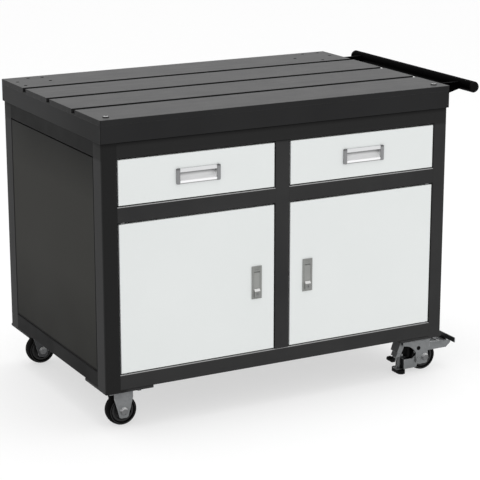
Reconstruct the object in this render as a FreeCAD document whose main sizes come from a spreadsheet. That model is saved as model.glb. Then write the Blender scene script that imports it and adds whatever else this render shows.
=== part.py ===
# Machine work table: a welded steel cabinet on casters, under a slotted work top.
# X runs along the table, Y from the front to the back, Z up. The origin is on the floor,
# under the middle of the whole outline, push bar included. All lengths are in millimetres.
import FreeCAD
import Part
import Sketcher
import math
import operator
import os
from types import SimpleNamespace

doc = FreeCAD.newDocument("machine_work_table")

# Driving dimensions
SIZES = (
    # work top
    ("top_length", 1000), ("top_depth", 650), ("deck_thick", 14), ("apron_high", 44), ("apron_wall", 4),
    ("groove_wide", 20), ("groove_deep", 11), ("top_hole", 10),
    ("circle_from_right", 80), ("circle_from_back", 76), ("circle_dia", 116),
    ("spare_from_right", 30), ("spare_from_back", 18),
    ("outer_pair_x", 20), ("outer_pair_from_back", 94), ("outer_pair_pitch", 58),
    ("inner_pair_x", 105), ("inner_pair_from_back", 56), ("inner_pair_pitch", 58),
    ("single_x", 66), ("single_from_back", 23),
    ("screw_in_x", 29), ("screw_in_y", 31), ("screw_shank", 8), ("screw_head", 16), ("screw_head_high", 3.5),
    # welded frame and its panels
    ("cab_inset", 2.5), ("tube_wide", 40), ("post_deep", 50), ("tube_wall", 2), ("tube_round", 2.5),
    ("post_round", 7), ("seam_round", 0.6),
    ("drawer_open", 120), ("door_open", 388), ("front_gap", 3.5), ("sheet_thick", 1.5),
    ("panel_groove", 2.5), ("panel_step", 4), ("panel_flush", 0.6),
    ("shelf_lift", 194), ("shelf_fold", 25), ("shelf_front", 32), ("shelf_back", 30),
    # drawers, their slides and pulls
    ("front_deep", 18), ("lip_wide", 12), ("fold_round", 1.5), ("tray_high", 92), ("tray_lift", 8),
    ("tray_gap", 68), ("runner_lag", 2),
    ("slide_thick", 13), ("slide_high", 35), ("slide_wall", 1.5), ("slide_arm", 10), ("slide_play", 0.3),
    ("slide_lead", 20), ("slide_tail", 35),
    ("pull_wide", 121), ("pull_high", 38.5), ("pull_cap", 9.5), ("pull_proud", 3), ("cap_proud", 4),
    ("cap_over", 0.5), ("cap_round", 3), ("pull_deep", 13), ("pull_wall", 1.5), ("pull_hood", 9.5),
    ("pull_lip", 7.5), ("pull_flange", 4), ("pull_scoop", 24), ("pull_play", 0.4),
    # doors, pivots and latches
    ("door_deep", 20), ("pivot_side", 12), ("pivot_back", 8), ("pin_dia", 8), ("pin_reach", 13),
    ("collar_dia", 15), ("collar_play", 0.3), ("block_wide", 24), ("block_high", 12), ("fit_play", 0.05),
    ("latch_wide", 28), ("latch_high", 86), ("latch_edge", 51), ("latch_lift", 184), ("latch_proud", 2.5),
    ("latch_rim", 2.2), ("latch_deep", 15), ("latch_play", 0.3), ("recess_wide", 16.6), ("recess_deep", 4.5),
    ("recess_top", 14), ("recess_low", 5), ("bezel_line", 0.8), ("bezel_pitch", 4.5),
    ("button_high", 21), ("button_proud", 6.5), ("button_deep", 6), ("button_room", 12), ("button_slope", 6),
    ("flap_thick", 3), ("flap_pivot", 3), ("flap_lead", 1.2), ("flap_pin", 2), ("finger_grip", 6),
    ("key_dia", 9.5), ("key_proud", 0.8), ("key_slot", 1.6),
    ("bolt_high", 14), ("bolt_deep", 8), ("bolt_play", 0.2), ("bolt_tail", 8), ("bolt_rise", 10),
    ("bolt_throw", 8), ("strike_deep", 10), ("strike_high", 18),
    # push bar
    ("bar_dia", 30), ("bar_wall", 2), ("bar_long", 606), ("bar_reach", 97), ("bar_drop", 16),
    ("bracket_thick", 6), ("bracket_inset", 57), ("bracket_tip", 8), ("bracket_root", 34),
    ("plug_cap", 4), ("plug_spigot", 12),
    # caster mounts
    ("caster_high", 102), ("plate_thick", 6), ("plate_side", 130), ("plate_cut", 16),
    ("caster_in_x", 64), ("caster_in_y", 55), ("mount_long", 94), ("mount_deep", 80), ("mount_thick", 4),
    ("bolt_pitch_x", 76), ("bolt_pitch_y", 60), ("bolt_dia", 8), ("bolt_hex", 13), ("bolt_hex_high", 4.5),
    ("hole_play", 0.25),
    # wheels and fixed forks
    ("wheel_dia", 80), ("tread_wide", 32), ("tread_crown", 1.5), ("shoulder", 5), ("hub_dia", 58),
    ("hub_rim", 5), ("hub_web", 12), ("hub_boss", 24), ("axle_dia", 10), ("axle_hex", 17),
    ("axle_hex_high", 6),
    ("fork_gap", 38), ("fork_wall", 3), ("side_play", 0.4),
    ("leg_top", 50), ("leg_belly", 52), ("leg_belly_z", 76), ("leg_foot", 23), ("leg_foot_z", 22),
    # swivel forks
    ("trail", 31), ("race_dia", 66), ("race_gap", 0.3), ("race_high", 5.7), ("crown_thick", 4),
    ("king_dia", 12), ("king_head", 20), ("king_head_high", 3), ("crown_nose", 40), ("crown_heel", 46),
    ("arch_foot_x", 2), ("arch_foot_z", 56), ("arch_top_z", 80), ("arch_round", 48), ("fork_low_z", 22),
    ("fork_low_x", 39), ("fork_back_x", 14), ("fork_back_z", 28), ("fork_waist_x", 42), ("fork_neck_x", 40),
    ("fork_neck_z", 57), ("fork_flare_z", 67), ("fork_round", 7), ("swivel_gap", 43), ("crown_round", 5),
    ("tongue_wide", 34), ("tongue_thick", 3), ("tongue_lean", 11), ("tongue_low_z", 62),
    ("tongue_flange", 12), ("rivet_dia", 10), ("rivet_high", 1.6), ("pivot_hole", 8.4), ("pivot_sink", 2),
    # brake lever and foot
    ("cheek_thick", 2.2), ("cheek_play", 0.7), ("cheek_round", 4), ("stud_dia", 9), ("lever_x", 10),
    ("lever_z", 68),
    ("lever_heel", 12), ("lever_lug", 5), ("lever_lug_edge", 16.98), ("lever_lug_sag", 0.72),
    ("arm_low", 56), ("arm_high", 80), ("arm_root", 45),
    ("arm_tip", 117), ("arm_tip_low", 68), ("arm_tip_high", 75), ("arm_slant", 14), ("web_from", 76),
    ("web_thick", 2.5), ("web_slot_long", 18), ("web_slot_wide", 9), ("tread_x", 104),
    ("tread_plate_wide", 120), ("tread_plate_low", 80), ("tread_plate_high", 14),
    ("foot_lug", 4), ("foot_lug_edge", 13.1), ("foot_lug_sag", 0.6),
    ("foot_x", 9), ("foot_z", 36), ("foot_mid", 38), ("foot_plate_long", 24), ("foot_plate_thick", 2),
    ("foot_plate_wide", 22), ("foot_arm_x", 34), ("foot_arm_low", 13), ("foot_arm_high", 40),
    ("foot_rubber_high", 10), ("foot_rubber_long", 22), ("foot_rubber_wide", 48), ("neck_thick", 8),
    ("neck_wide", 14), ("neck_top", 70), ("neck_drop", 22), ("shoe_tilt", 9.3), ("shoe_play", 1.7),
    ("shoe_wide", 26), ("shoe_flange", 10), ("stem_dia", 11),
    ("pin_x", 36), ("pin_z", 52), ("cross_pin", 6), ("cross_long", 26), ("toe_reach", 57),
    ("toe_low", 35), ("toe_high", 46), ("toe_long", 13), ("toe_wide", 24),
)


class Dim:
    """A length with its number and the formula that ties it to the sheet."""

    def __init__(self, value, text):
        self.value = value
        self.text = text

    def __add__(self, other):
        return combine(self, "+", other)

    def __radd__(self, other):
        return combine(other, "+", self)

    def __sub__(self, other):
        return combine(self, "-", other)

    def __rsub__(self, other):
        return combine(other, "-", self)

    def __mul__(self, other):
        return combine(self, "*", other)

    def __rmul__(self, other):
        return combine(other, "*", self)

    def __truediv__(self, other):
        return combine(self, "/", other)

    def __neg__(self):
        return combine(0, "-", self)


OPERATIONS = {"+": operator.add, "-": operator.sub, "*": operator.mul, "/": operator.truediv}


def dim(value):
    """Plain numbers become lengths too."""
    return value if isinstance(value, Dim) else Dim(float(value), f"({float(value)!r})")


def combine(first, sign, second):
    first, second = dim(first), dim(second)
    return Dim(OPERATIONS[sign](first.value, second.value), f"({first.text} {sign} {second.text})")


sheet = doc.addObject("Spreadsheet::Sheet", "sizes")
for row, (alias, number) in enumerate(SIZES, start=1):
    sheet.set(f"A{row}", alias)
    sheet.set(f"B{row}", str(number))
    sheet.setAlias(f"B{row}", alias)
doc.recompute()
s = SimpleNamespace(**{alias: Dim(float(sheet.get(alias)), f"sizes.{alias}") for alias, _ in SIZES})

# Places worked out from the driving dimensions
LEFT = -(s.top_length + s.bar_reach + s.bar_dia / 2) / 2
RIGHT = LEFT + s.top_length
MIDDLE = LEFT + s.top_length / 2
FRONT = -s.top_depth / 2
BACK = s.top_depth / 2
CAB_LEFT = LEFT + s.cab_inset
CAB_RIGHT = RIGHT - s.cab_inset
CAB_FRONT = FRONT + s.cab_inset
CAB_BACK = BACK - s.cab_inset
FRAME_Z = s.caster_high + s.plate_thick
DOOR_Z = FRAME_Z + s.tube_wide
MID_RAIL_Z = DOOR_Z + s.door_open
DRAWER_Z = MID_RAIL_Z + s.tube_wide
TOP_RAIL_Z = DRAWER_Z + s.drawer_open
APRON_Z = TOP_RAIL_Z + s.tube_wide
DECK_Z = APRON_Z + s.apron_high
TOP_Z = DECK_Z + s.deck_thick
POST_HIGH = APRON_Z - FRAME_Z
OPEN_HIGH = TOP_RAIL_Z - DOOR_Z
BAY_WIDE = (s.top_length - 2 * s.cab_inset - 3 * s.tube_wide) / 2
CAB_DEEP = s.top_depth - 2 * s.cab_inset
SIDE_LONG = CAB_DEEP - 2 * s.post_deep
TRAY_LONG = CAB_DEEP - s.front_deep - s.tray_gap
RUNNER_LONG = s.front_deep + TRAY_LONG - s.slide_lead - s.runner_lag
SLIDE_LONG = CAB_DEEP - s.slide_lead - s.slide_tail
BAYS = {"left": (CAB_LEFT + s.tube_wide, 1), "right": (MIDDLE + s.tube_wide / 2, -1)}
CASTER_X = {"left": LEFT + s.caster_in_x, "right": RIGHT - s.caster_in_x}
CASTER_Y = {"front": FRONT + s.caster_in_y, "rear": BACK - s.caster_in_y}
CROWN_TOP = s.caster_high - s.mount_thick - s.race_high - s.race_gap
FORK_WIDE = s.fork_gap + 2 * s.fork_wall
AXLE_Z = s.wheel_dia / 2
SWIVEL_WIDE = s.swivel_gap + 2 * s.fork_wall
CHEEK_Y = s.swivel_gap / 2 - s.cheek_play - s.cheek_thick

parts = {}


def node(label, item):
    """Name a finished piece."""
    item.Label = label
    parts[label] = item
    return item


def bind(item, prop, size):
    item.setExpression(prop, dim(size).text)


def place(item, x=0, y=0, z=0):
    for axis, size in zip("xyz", (x, y, z)):
        bind(item, f"Placement.Base.{axis}", size)
    return item


def box(name, corner, size):
    item = doc.addObject("Part::Box", name)
    for prop, length in zip(("Length", "Width", "Height"), size):
        bind(item, prop, length)
    return place(item, *corner)


def span(name, low, high):
    """A box from its lowest corner to its highest."""
    return box(name, low, [dim(b) - a for a, b in zip(low, high)])


ALONG = {
    "x": FreeCAD.Rotation(FreeCAD.Vector(0, 1, 0), 90),
    "y": FreeCAD.Rotation(FreeCAD.Vector(1, 0, 0), -90),
    "z": FreeCAD.Rotation(),
}


def rod(name, start, along, radius, length):
    item = doc.addObject("Part::Cylinder", name)
    bind(item, "Radius", radius)
    bind(item, "Height", length)
    item.Placement = FreeCAD.Placement(FreeCAD.Vector(), ALONG[along])
    return place(item, *start)


def hexagon(name, start, along, flats, height):
    item = doc.addObject("Part::Prism", name)
    item.Polygon = 6
    bind(item, "Circumradius", flats / math.sqrt(3))
    bind(item, "Height", height)
    item.Placement = FreeCAD.Placement(FreeCAD.Vector(), ALONG[along])
    return place(item, *start)


def fuse(name, *items):
    item = doc.addObject("Part::MultiFuse", name)
    item.Shapes = list(items)
    item.Refine = True
    return item


def cut(name, base, *tools):
    item = doc.addObject("Part::Cut", name)
    item.Base = base
    item.Tool = tools[0] if len(tools) == 1 else fuse(f"{name}_tool", *tools)
    return item


def group(name, items):
    item = doc.addObject("Part::Compound", name)
    item.Links = list(items)
    return item


def body_sketch(body, name, role, offset=0):
    """A sketch on one of its body's own planes."""
    sketch = body.newObject("Sketcher::SketchObject", name)
    plane = [item for item in body.Origin.OriginFeatures if item.Role == role][0]
    sketch.AttachmentSupport = [(plane, "")]
    sketch.MapMode = "FlatFace"
    bind(sketch, "AttachmentOffset.Base.z", offset)
    return sketch


def fix_point(sketch, geometry, position, point):
    for kind, size in zip(("DistanceX", "DistanceY"), point):
        index = sketch.addConstraint(Sketcher.Constraint(kind, -1, 1, geometry, position, dim(size).value))
        bind(sketch, f"Constraints[{index}]", size)


def arc_between(start, end, radius):
    """An arc that turns left from start to end, and whether it was drawn from its end."""
    flip = radius < 0
    first, last = (end, start) if flip else (start, end)
    reach = abs(radius)
    chord = last - first
    half = chord.Length / 2
    height = math.sqrt(max(reach * reach - half * half, 0))
    normal = FreeCAD.Vector(-chord.y, chord.x, 0).normalize()
    centre = (first + last) * 0.5 + normal * height
    angles = [math.atan2(p.y - centre.y, p.x - centre.x) for p in (first, last)]
    circle = Part.Circle(centre, FreeCAD.Vector(0, 0, 1), reach)
    return Part.ArcOfCircle(circle, *angles), flip


def outline(sketch, points, arcs=None):
    """A closed outline. arcs gives an edge its radius: positive turns left, negative right."""
    arcs = arcs or {}
    corners = [FreeCAD.Vector(dim(u).value, dim(v).value, 0) for u, v in points]
    edges = []
    for number, start in enumerate(corners):
        end = corners[(number + 1) % len(corners)]
        if number in arcs:
            shape, flip = arc_between(start, end, arcs[number].value)
            ends = (2, 1) if flip else (1, 2)
        else:
            shape, ends = Part.LineSegment(start, end), (1, 2)
        edges.append((sketch.addGeometry(shape, False), ends))
    for number, (edge, ends) in enumerate(edges):
        following, following_ends = edges[(number + 1) % len(edges)]
        sketch.addConstraint(Sketcher.Constraint("Coincident", edge, ends[1], following, following_ends[0]))
        fix_point(sketch, edge, ends[0], points[number])
        if number in arcs:
            reach = arcs[number] if arcs[number].value > 0 else -arcs[number]
            index = sketch.addConstraint(Sketcher.Constraint("Radius", edge, reach.value))
            bind(sketch, f"Constraints[{index}]", reach)


def rectangle(sketch, low, high):
    (u0, v0), (u1, v1) = low, high
    outline(sketch, [(u0, v0), (u1, v0), (u1, v1), (u0, v1)])


def ring(sketch, centre, radius):
    middle = FreeCAD.Vector(dim(centre[0]).value, dim(centre[1]).value, 0)
    shape = Part.Circle(middle, FreeCAD.Vector(0, 0, 1), dim(radius).value)
    edge = sketch.addGeometry(shape, False)
    fix_point(sketch, edge, 3, centre)
    index = sketch.addConstraint(Sketcher.Constraint("Radius", edge, dim(radius).value))
    bind(sketch, f"Constraints[{index}]", radius)


def pad(body, sketch, length, reverse=False):
    feature = body.newObject("PartDesign::Pad", f"{sketch.Name}_pad")
    feature.Profile = sketch
    feature.Reversed = reverse
    bind(feature, "Length", length)
    return feature


def pocket(body, sketch, depth=None):
    """A pocket of a given depth, or right through."""
    feature = body.newObject("PartDesign::Pocket", f"{sketch.Name}_pocket")
    feature.Profile = sketch
    if depth is None:
        feature.Type = "ThroughAll"
    else:
        bind(feature, "Length", depth)
    return feature


def round_corners(body, corners, plane_axes, radius):
    """Round the straight edges that stand on the given outline corners."""
    doc.recompute()
    base = body.Tip
    wanted = [(dim(u).value, dim(v).value) for u, v in corners]
    names = []
    for number, edge in enumerate(base.Shape.Edges, start=1):
        flat = [[getattr(vertex.Point, axis) for axis in plane_axes] for vertex in edge.Vertexes]
        stands = len(flat) == 2 and math.dist(*flat) < 1e-6
        if stands and any(math.dist(flat[0], point) < 1e-4 for point in wanted):
            names.append(f"Edge{number}")
    if len(names) != len(wanted):
        raise RuntimeError(f"{body.Name}: {len(names)} edges found for {len(wanted)} corners")
    feature = body.newObject("PartDesign::Fillet", f"{body.Name}_round")
    feature.Base = (base, names)
    bind(feature, "Radius", radius)
    return feature


def plate_xz(name, points, y_low, thickness, arcs=None, holes=()):
    """A plate with its outline in X and Z, from y_low towards the back."""
    body = doc.addObject("PartDesign::Body", name)
    sketch = body_sketch(body, f"{name}_outline", "XZ_Plane", -dim(y_low))
    outline(sketch, points, arcs)
    for centre, radius in holes:
        ring(sketch, centre, radius)
    pad(body, sketch, thickness, reverse=True)
    return body


def profile_yz(name, points, x_low, length, arcs=None):
    """A section in Y and Z, drawn out along X."""
    body = doc.addObject("PartDesign::Body", name)
    sketch = body_sketch(body, f"{name}_section", "YZ_Plane", x_low)
    outline(sketch, points, arcs)
    pad(body, sketch, length)
    return body


TUBE_PLANES = {"x": ("YZ_Plane", "yz", False), "y": ("XZ_Plane", "xz", True), "z": ("XY_Plane", "xy", False)}


def tube(name, corner, size, along, bends=None):
    """A rectangular tube with open ends; bends are its corner radii, from low-low round by high-low."""
    role, across, reverse = TUBE_PLANES[along]
    sides = dict(zip("xyz", size))
    wide, high = (sides[axis] for axis in across)
    wall = s.tube_wall
    a, b, c, d = bends or [s.tube_round] * 4
    body = doc.addObject("PartDesign::Body", name)
    sketch = body_sketch(body, f"{name}_section", role)
    outline(sketch, [
        (a, 0), (wide - b, 0), (wide, b), (wide, high - c),
        (wide - c, high), (d, high), (0, high - d), (0, a),
    ], {1: b, 3: c, 5: d, 7: a})
    if bends:
        # the wall follows the wide outer bend, and the other corners stay square inside
        right, top = wide - wall, high - wall
        points, arcs = [], {}
        for bend, (x, y, dx, dy) in zip(bends, ((wall, wall, 1, 1), (right, wall, -1, 1),
                                                (right, top, -1, -1), (wall, top, 1, -1))):
            if bend.value < wall.value + s.tube_round.value:
                points.append((x, y))
                continue
            inner = bend - wall
            pair = [(x, y + dy * inner), (x + dx * inner, y)]
            arcs[len(points)] = inner
            points += pair if dx == dy else pair[::-1]
        outline(sketch, points, arcs)
    else:
        rectangle(sketch, (wall, wall), (wide - wall, high - wall))
    pad(body, sketch, sides[along], reverse)
    return place(body, *corner)


def turned(name, points, role, arcs=None):
    """A piece turned about the upright axis of its sketch."""
    body = doc.addObject("PartDesign::Body", name)
    sketch = body_sketch(body, f"{name}_section", role)
    outline(sketch, points, arcs)
    feature = body.newObject("PartDesign::Revolution", f"{name}_turn")
    feature.Profile = sketch
    feature.ReferenceAxis = (sketch, ["V_Axis"])
    feature.Angle = 360
    return body


# Work top

def deck_holes():
    """Centres of the fixing holes, from the front left corner of the deck."""
    x_mid = s.top_length - s.circle_from_right
    y_mid = s.top_depth - s.circle_from_back
    reach = s.circle_dia / 2
    yield x_mid - reach, y_mid
    yield x_mid + reach, y_mid
    yield x_mid, y_mid - reach
    yield x_mid, y_mid + reach
    yield s.top_length - s.spare_from_right, s.top_depth - s.spare_from_back
    for x, from_back, pitch in (
        (s.outer_pair_x, s.outer_pair_from_back, s.outer_pair_pitch),
        (s.inner_pair_x, s.inner_pair_from_back, s.inner_pair_pitch),
    ):
        yield x, s.top_depth - from_back - pitch / 2
        yield x, s.top_depth - from_back + pitch / 2
    yield s.single_x, s.top_depth - s.single_from_back


SCREW_X = (s.screw_in_x, s.top_length - s.screw_in_x)
GROOVES = 3


def work_top():
    body = doc.addObject("PartDesign::Body", "deck")
    blank = body_sketch(body, "deck_outline", "XY_Plane")
    rectangle(blank, (0, 0), (s.top_length, s.top_depth))
    pad(body, blank, s.deck_thick, reverse=True)
    grooves = body_sketch(body, "deck_grooves", "XY_Plane")
    for count in range(1, GROOVES + 1):
        middle = s.top_depth * count / (GROOVES + 1)
        rectangle(grooves, (0, middle - s.groove_wide / 2), (s.top_length, middle + s.groove_wide / 2))
    pocket(body, grooves, s.groove_deep)
    holes = body_sketch(body, "deck_holes", "XY_Plane")
    for centre in deck_holes():
        ring(holes, centre, s.top_hole / 2)
    for x in SCREW_X:
        ring(holes, (x, s.screw_in_y), s.screw_shank / 2 + s.hole_play)
    pocket(body, holes)
    node("table_top", place(body, LEFT, FRONT, TOP_Z))

    wall, reach = s.apron_wall, s.cab_inset + s.tube_wide
    flange_z = APRON_Z + wall
    strips = []
    for name, y_leg, y_low, y_high in (
        ("front", FRONT, FRONT + wall, FRONT + reach), ("rear", BACK - wall, BACK - reach, BACK - wall),
    ):
        leg = box(f"apron_{name}_leg", (LEFT, y_leg, APRON_Z), (s.top_length, wall, s.apron_high))
        flange = span(f"apron_{name}_flange", (LEFT + wall, y_low, APRON_Z),
                      (RIGHT - wall, y_high, flange_z))
        strips.append(fuse(f"apron_{name}", leg, flange))
    bores = [
        rod(f"apron_bore_{side}", (LEFT + x, FRONT + s.screw_in_y, APRON_Z), "z",
            s.screw_shank / 2 + s.hole_play, wall)
        for side, x in zip(BAYS, SCREW_X)
    ]
    strips[0] = cut("apron_front_bored", strips[0], *bores)
    for name, x_leg, x_low, x_high in (
        ("left", LEFT, LEFT + wall, LEFT + reach), ("right", RIGHT - wall, RIGHT - reach, RIGHT - wall),
    ):
        leg = span(f"apron_{name}_leg", (x_leg, FRONT + wall, APRON_Z), (x_leg + wall, BACK - wall, DECK_Z))
        flange = span(f"apron_{name}_flange", (x_low, FRONT + reach, APRON_Z),
                      (x_high, BACK - reach, flange_z))
        strips.append(fuse(f"apron_{name}", leg, flange))
    node("top_apron", group("apron_strips", strips))


def top_screws():
    """Dome-headed screws that draw the deck down on the apron."""
    head, high, shank = s.screw_head / 2, s.screw_head_high, s.screw_shank / 2
    length = s.deck_thick + s.apron_high
    points = [(0, -length), (shank, -length), (shank, 0), (head, 0), (0, high)]
    dome = (head * head + high * high) / (2 * high)
    screws = []
    for side, x in zip(BAYS, SCREW_X):
        screw = turned(f"deck_screw_{side}", points, "XZ_Plane", {3: dome})
        screws.append(place(screw, LEFT + x, FRONT + s.screw_in_y, TOP_Z))
    node("top_screws", group("deck_screws", screws))


# Welded frame

def frame():
    wide, deep = s.tube_wide, s.post_deep
    bend, seam, plain = s.post_round, s.seam_round, s.tube_round
    rounds = {("left", "front"): (bend, seam, plain, seam), ("right", "front"): (seam, bend, seam, plain),
              ("right", "rear"): (plain, seam, bend, seam), ("left", "rear"): (seam, plain, seam, bend)}
    posts = []
    for side, x in (("left", CAB_LEFT), ("right", CAB_RIGHT - wide)):
        for end, y in (("front", CAB_FRONT), ("rear", CAB_BACK - deep)):
            posts.append(tube(f"post_{side}_{end}", (x, y, FRAME_Z), (wide, deep, POST_HIGH), "z",
                              rounds[side, end]))
    centre = MIDDLE - wide / 2
    front_post = tube("post_centre_front", (centre, CAB_FRONT, DOOR_Z), (wide, deep, OPEN_HIGH), "z",
                      (seam, seam, plain, plain))
    strike = box(
        "strike_slots",
        (centre, CAB_FRONT + s.recess_deep + s.bolt_play + s.bolt_deep / 2 - s.strike_deep / 2,
         LATCH_Z + s.bolt_rise - s.strike_high / 2),
        (wide, s.strike_deep, s.strike_high),
    )
    posts.append(cut("post_centre_slotted", front_post, strike))
    posts.append(tube("post_centre_rear", (centre, CAB_BACK - deep, DOOR_Z), (wide, deep, OPEN_HIGH), "z",
                      (plain, plain, seam, seam)))
    node("frame_posts", group("posts", posts))

    rails = []
    long_rail = s.top_length - 2 * s.cab_inset - 2 * wide
    for level, z in (("bottom", FRAME_Z), ("top", TOP_RAIL_Z)):
        for end, y in (("front", CAB_FRONT), ("rear", CAB_BACK - wide)):
            rails.append(tube(f"rail_{level}_{end}", (CAB_LEFT + wide, y, z), (long_rail, wide, wide), "x"))
        for side, x in (("left", CAB_LEFT), ("right", CAB_RIGHT - wide)):
            corner = (x, CAB_FRONT + deep, z)
            rails.append(tube(f"rail_{level}_{side}", corner, (wide, SIDE_LONG, wide), "y"))
    for side, (x, _) in BAYS.items():
        rails.append(tube(f"rail_mid_{side}", (x, CAB_FRONT, MID_RAIL_Z), (BAY_WIDE, wide, wide), "x"))
    node("frame_rails", group("rails", rails))


def pressed_panel(name, axis, face, inward, low, high):
    """A sheet let into an opening, with its field pressed out almost flush with the frame."""
    skin = s.sheet_thick
    sheet_at = face + inward * s.panel_step
    field_at = face + inward * s.panel_flush
    groove = s.panel_groove

    def slab(label, depth_a, depth_b, margin):
        near, far = (depth_a, depth_b) if inward > 0 else (depth_b, depth_a)
        low_in, high_in = [v + margin for v in low], [v - margin for v in high]
        if axis == "x":
            return span(label, (near, *low_in), (far, *high_in))
        return span(label, (low_in[0], near, low_in[1]), (high_in[0], far, high_in[1]))

    edge = slab(f"{name}_edge", sheet_at, sheet_at + inward * skin, 0)
    field = slab(f"{name}_field", field_at, sheet_at + inward * skin, groove)
    hollow = slab(f"{name}_hollow", field_at + inward * skin, sheet_at + inward * skin, groove + skin)
    return cut(name, fuse(f"{name}_pressing", edge, field), hollow)


def panels():
    y_low, y_high = CAB_FRONT + s.post_deep, CAB_BACK - s.post_deep
    sides = [
        pressed_panel(f"{side}_panel", "x", face, inward, (y_low, DOOR_Z), (y_high, TOP_RAIL_Z))
        for side, face, inward in (("left", CAB_LEFT, 1), ("right", CAB_RIGHT, -1))
    ]
    node("side_panels", group("sides", sides))
    backs = [
        pressed_panel(f"back_{side}", "y", CAB_BACK, -1, (x, DOOR_Z), (x + BAY_WIDE, TOP_RAIL_Z))
        for side, (x, _) in BAYS.items()
    ]
    node("back_panels", group("backs", backs))
    floor_low = (CAB_LEFT + s.tube_wide, CAB_FRONT + s.tube_wide, DOOR_Z - s.sheet_thick)
    node("base_panel", span("base_sheet", floor_low,
                            (CAB_RIGHT - s.tube_wide, CAB_BACK - s.tube_wide, DOOR_Z)))
    wall_x = MIDDLE - s.sheet_thick / 2
    node("centre_partition", span(
        "partition_sheet", (wall_x, y_low, DOOR_Z), (wall_x + s.sheet_thick, y_high, TOP_RAIL_Z)))
    shelves = []
    for side, (x, _) in BAYS.items():
        low = (x, CAB_FRONT + s.shelf_front, DOOR_Z + s.shelf_lift - s.shelf_fold)
        high = (x + BAY_WIDE, CAB_BACK - s.shelf_back, DOOR_Z + s.shelf_lift)
        skin = s.sheet_thick
        hollow = span(
            f"shelf_{side}_hollow", (low[0] + skin, low[1] + skin, low[2]),
            (high[0] - skin, high[1] - skin, high[2] - skin))
        shelves.append(cut(f"shelf_{side}", span(f"shelf_{side}_blank", low, high), hollow))
    node("shelves", group("shelf_pair", shelves))


# Drawers

DRAWER_FRONT_Z = DRAWER_Z + s.front_gap
DRAWER_FRONT_HIGH = s.drawer_open - 2 * s.front_gap
FRONT_WIDE = BAY_WIDE - 2 * s.front_gap
SLIDE_Z = DRAWER_FRONT_Z + s.tray_lift + s.tray_high / 2


def folded_pan(name, corner, size):
    """A front sheet with its edges folded back and in again, open at the rear."""
    skin, lip = s.sheet_thick, s.lip_wide
    x, y, z = corner
    wide, deep, high = size
    outer = plate_xz(f"{name}_outer", [(0, 0), (wide, 0), (wide, high), (0, high)], 0, deep)
    doc.recompute()
    base = outer.Tip
    names = [
        f"Edge{number}" for number, edge in enumerate(base.Shape.Edges, start=1)
        if all(abs(vertex.Point.y) < 1e-6 for vertex in edge.Vertexes)
    ]
    fold = outer.newObject("PartDesign::Fillet", f"{name}_fold")
    fold.Base = (base, names)
    bind(fold, "Radius", s.fold_round)
    place(outer, *corner)
    room = span(f"{name}_room", (x + skin, y + skin, z + skin),
                (x + wide - skin, y + deep - skin, z + high - skin))
    mouth = span(f"{name}_mouth", (x + lip, y + deep - skin, z + lip),
                 (x + wide - lip, y + deep, z + high - lip))
    return cut(f"{name}_pan", outer, room, mouth)


def c_rail(name, wall_x, into, high, arm, y_low, length):
    """A C section along Y with its back on wall_x and its arms towards into."""
    wall = s.slide_wall
    half = high / 2
    points = [(0, -half), (arm, -half), (arm, wall - half), (wall, wall - half),
              (wall, half - wall), (arm, half - wall), (arm, half), (0, half)]
    if into < 0:
        points = [(-dim(u), v) for u, v in reversed(points)]
    return place(plate_xz(name, points, 0, length), wall_x, y_low, SLIDE_Z)


def drawer(side, x):
    skin = s.sheet_thick
    front_corner = (x + s.front_gap, CAB_FRONT, DRAWER_FRONT_Z)
    pan = folded_pan(f"{side}_drawer_front", front_corner, (FRONT_WIDE, s.front_deep, DRAWER_FRONT_HIGH))
    mid_x = x + BAY_WIDE / 2
    mid_z = DRAWER_FRONT_Z + DRAWER_FRONT_HIGH / 2
    window_high = s.pull_high - 2 * s.pull_flange + 2 * s.pull_play
    window_wide = s.pull_wide - s.pull_cap
    window = box(
        f"{side}_pull_window", (mid_x - window_wide / 2, CAB_FRONT, mid_z - window_high / 2),
        (window_wide, skin, window_high))
    node(f"{side}_drawer_front", cut(f"{side}_front_cut", pan, window))

    tray_wide = BAY_WIDE - 2 * s.slide_thick
    tray_low = (x + s.slide_thick, CAB_FRONT + s.front_deep, DRAWER_FRONT_Z + s.tray_lift)
    tray_size = (tray_wide, TRAY_LONG, s.tray_high)
    inside = box(
        f"{side}_tray_inside", [v + skin for v in tray_low],
        (tray_wide - 2 * skin, TRAY_LONG - 2 * skin, s.tray_high - skin))
    node(f"{side}_drawer_tray", cut(f"{side}_tray", box(f"{side}_tray_blank", tray_low, tray_size), inside))

    runner_high = s.slide_high - 2 * s.slide_wall - 2 * s.slide_play
    walls = (("outer", x + s.slide_thick, -1), ("inner", x + BAY_WIDE - s.slide_thick, 1))
    runners = [
        c_rail(f"{side}_runner_{name}", wall_x, into, runner_high, s.slide_arm,
               CAB_FRONT + s.slide_lead, RUNNER_LONG)
        for name, wall_x, into in walls
    ]
    node(f"{side}_drawer_runners", group(f"{side}_runner_pair", runners))
    pull(side, mid_x, mid_z)


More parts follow.
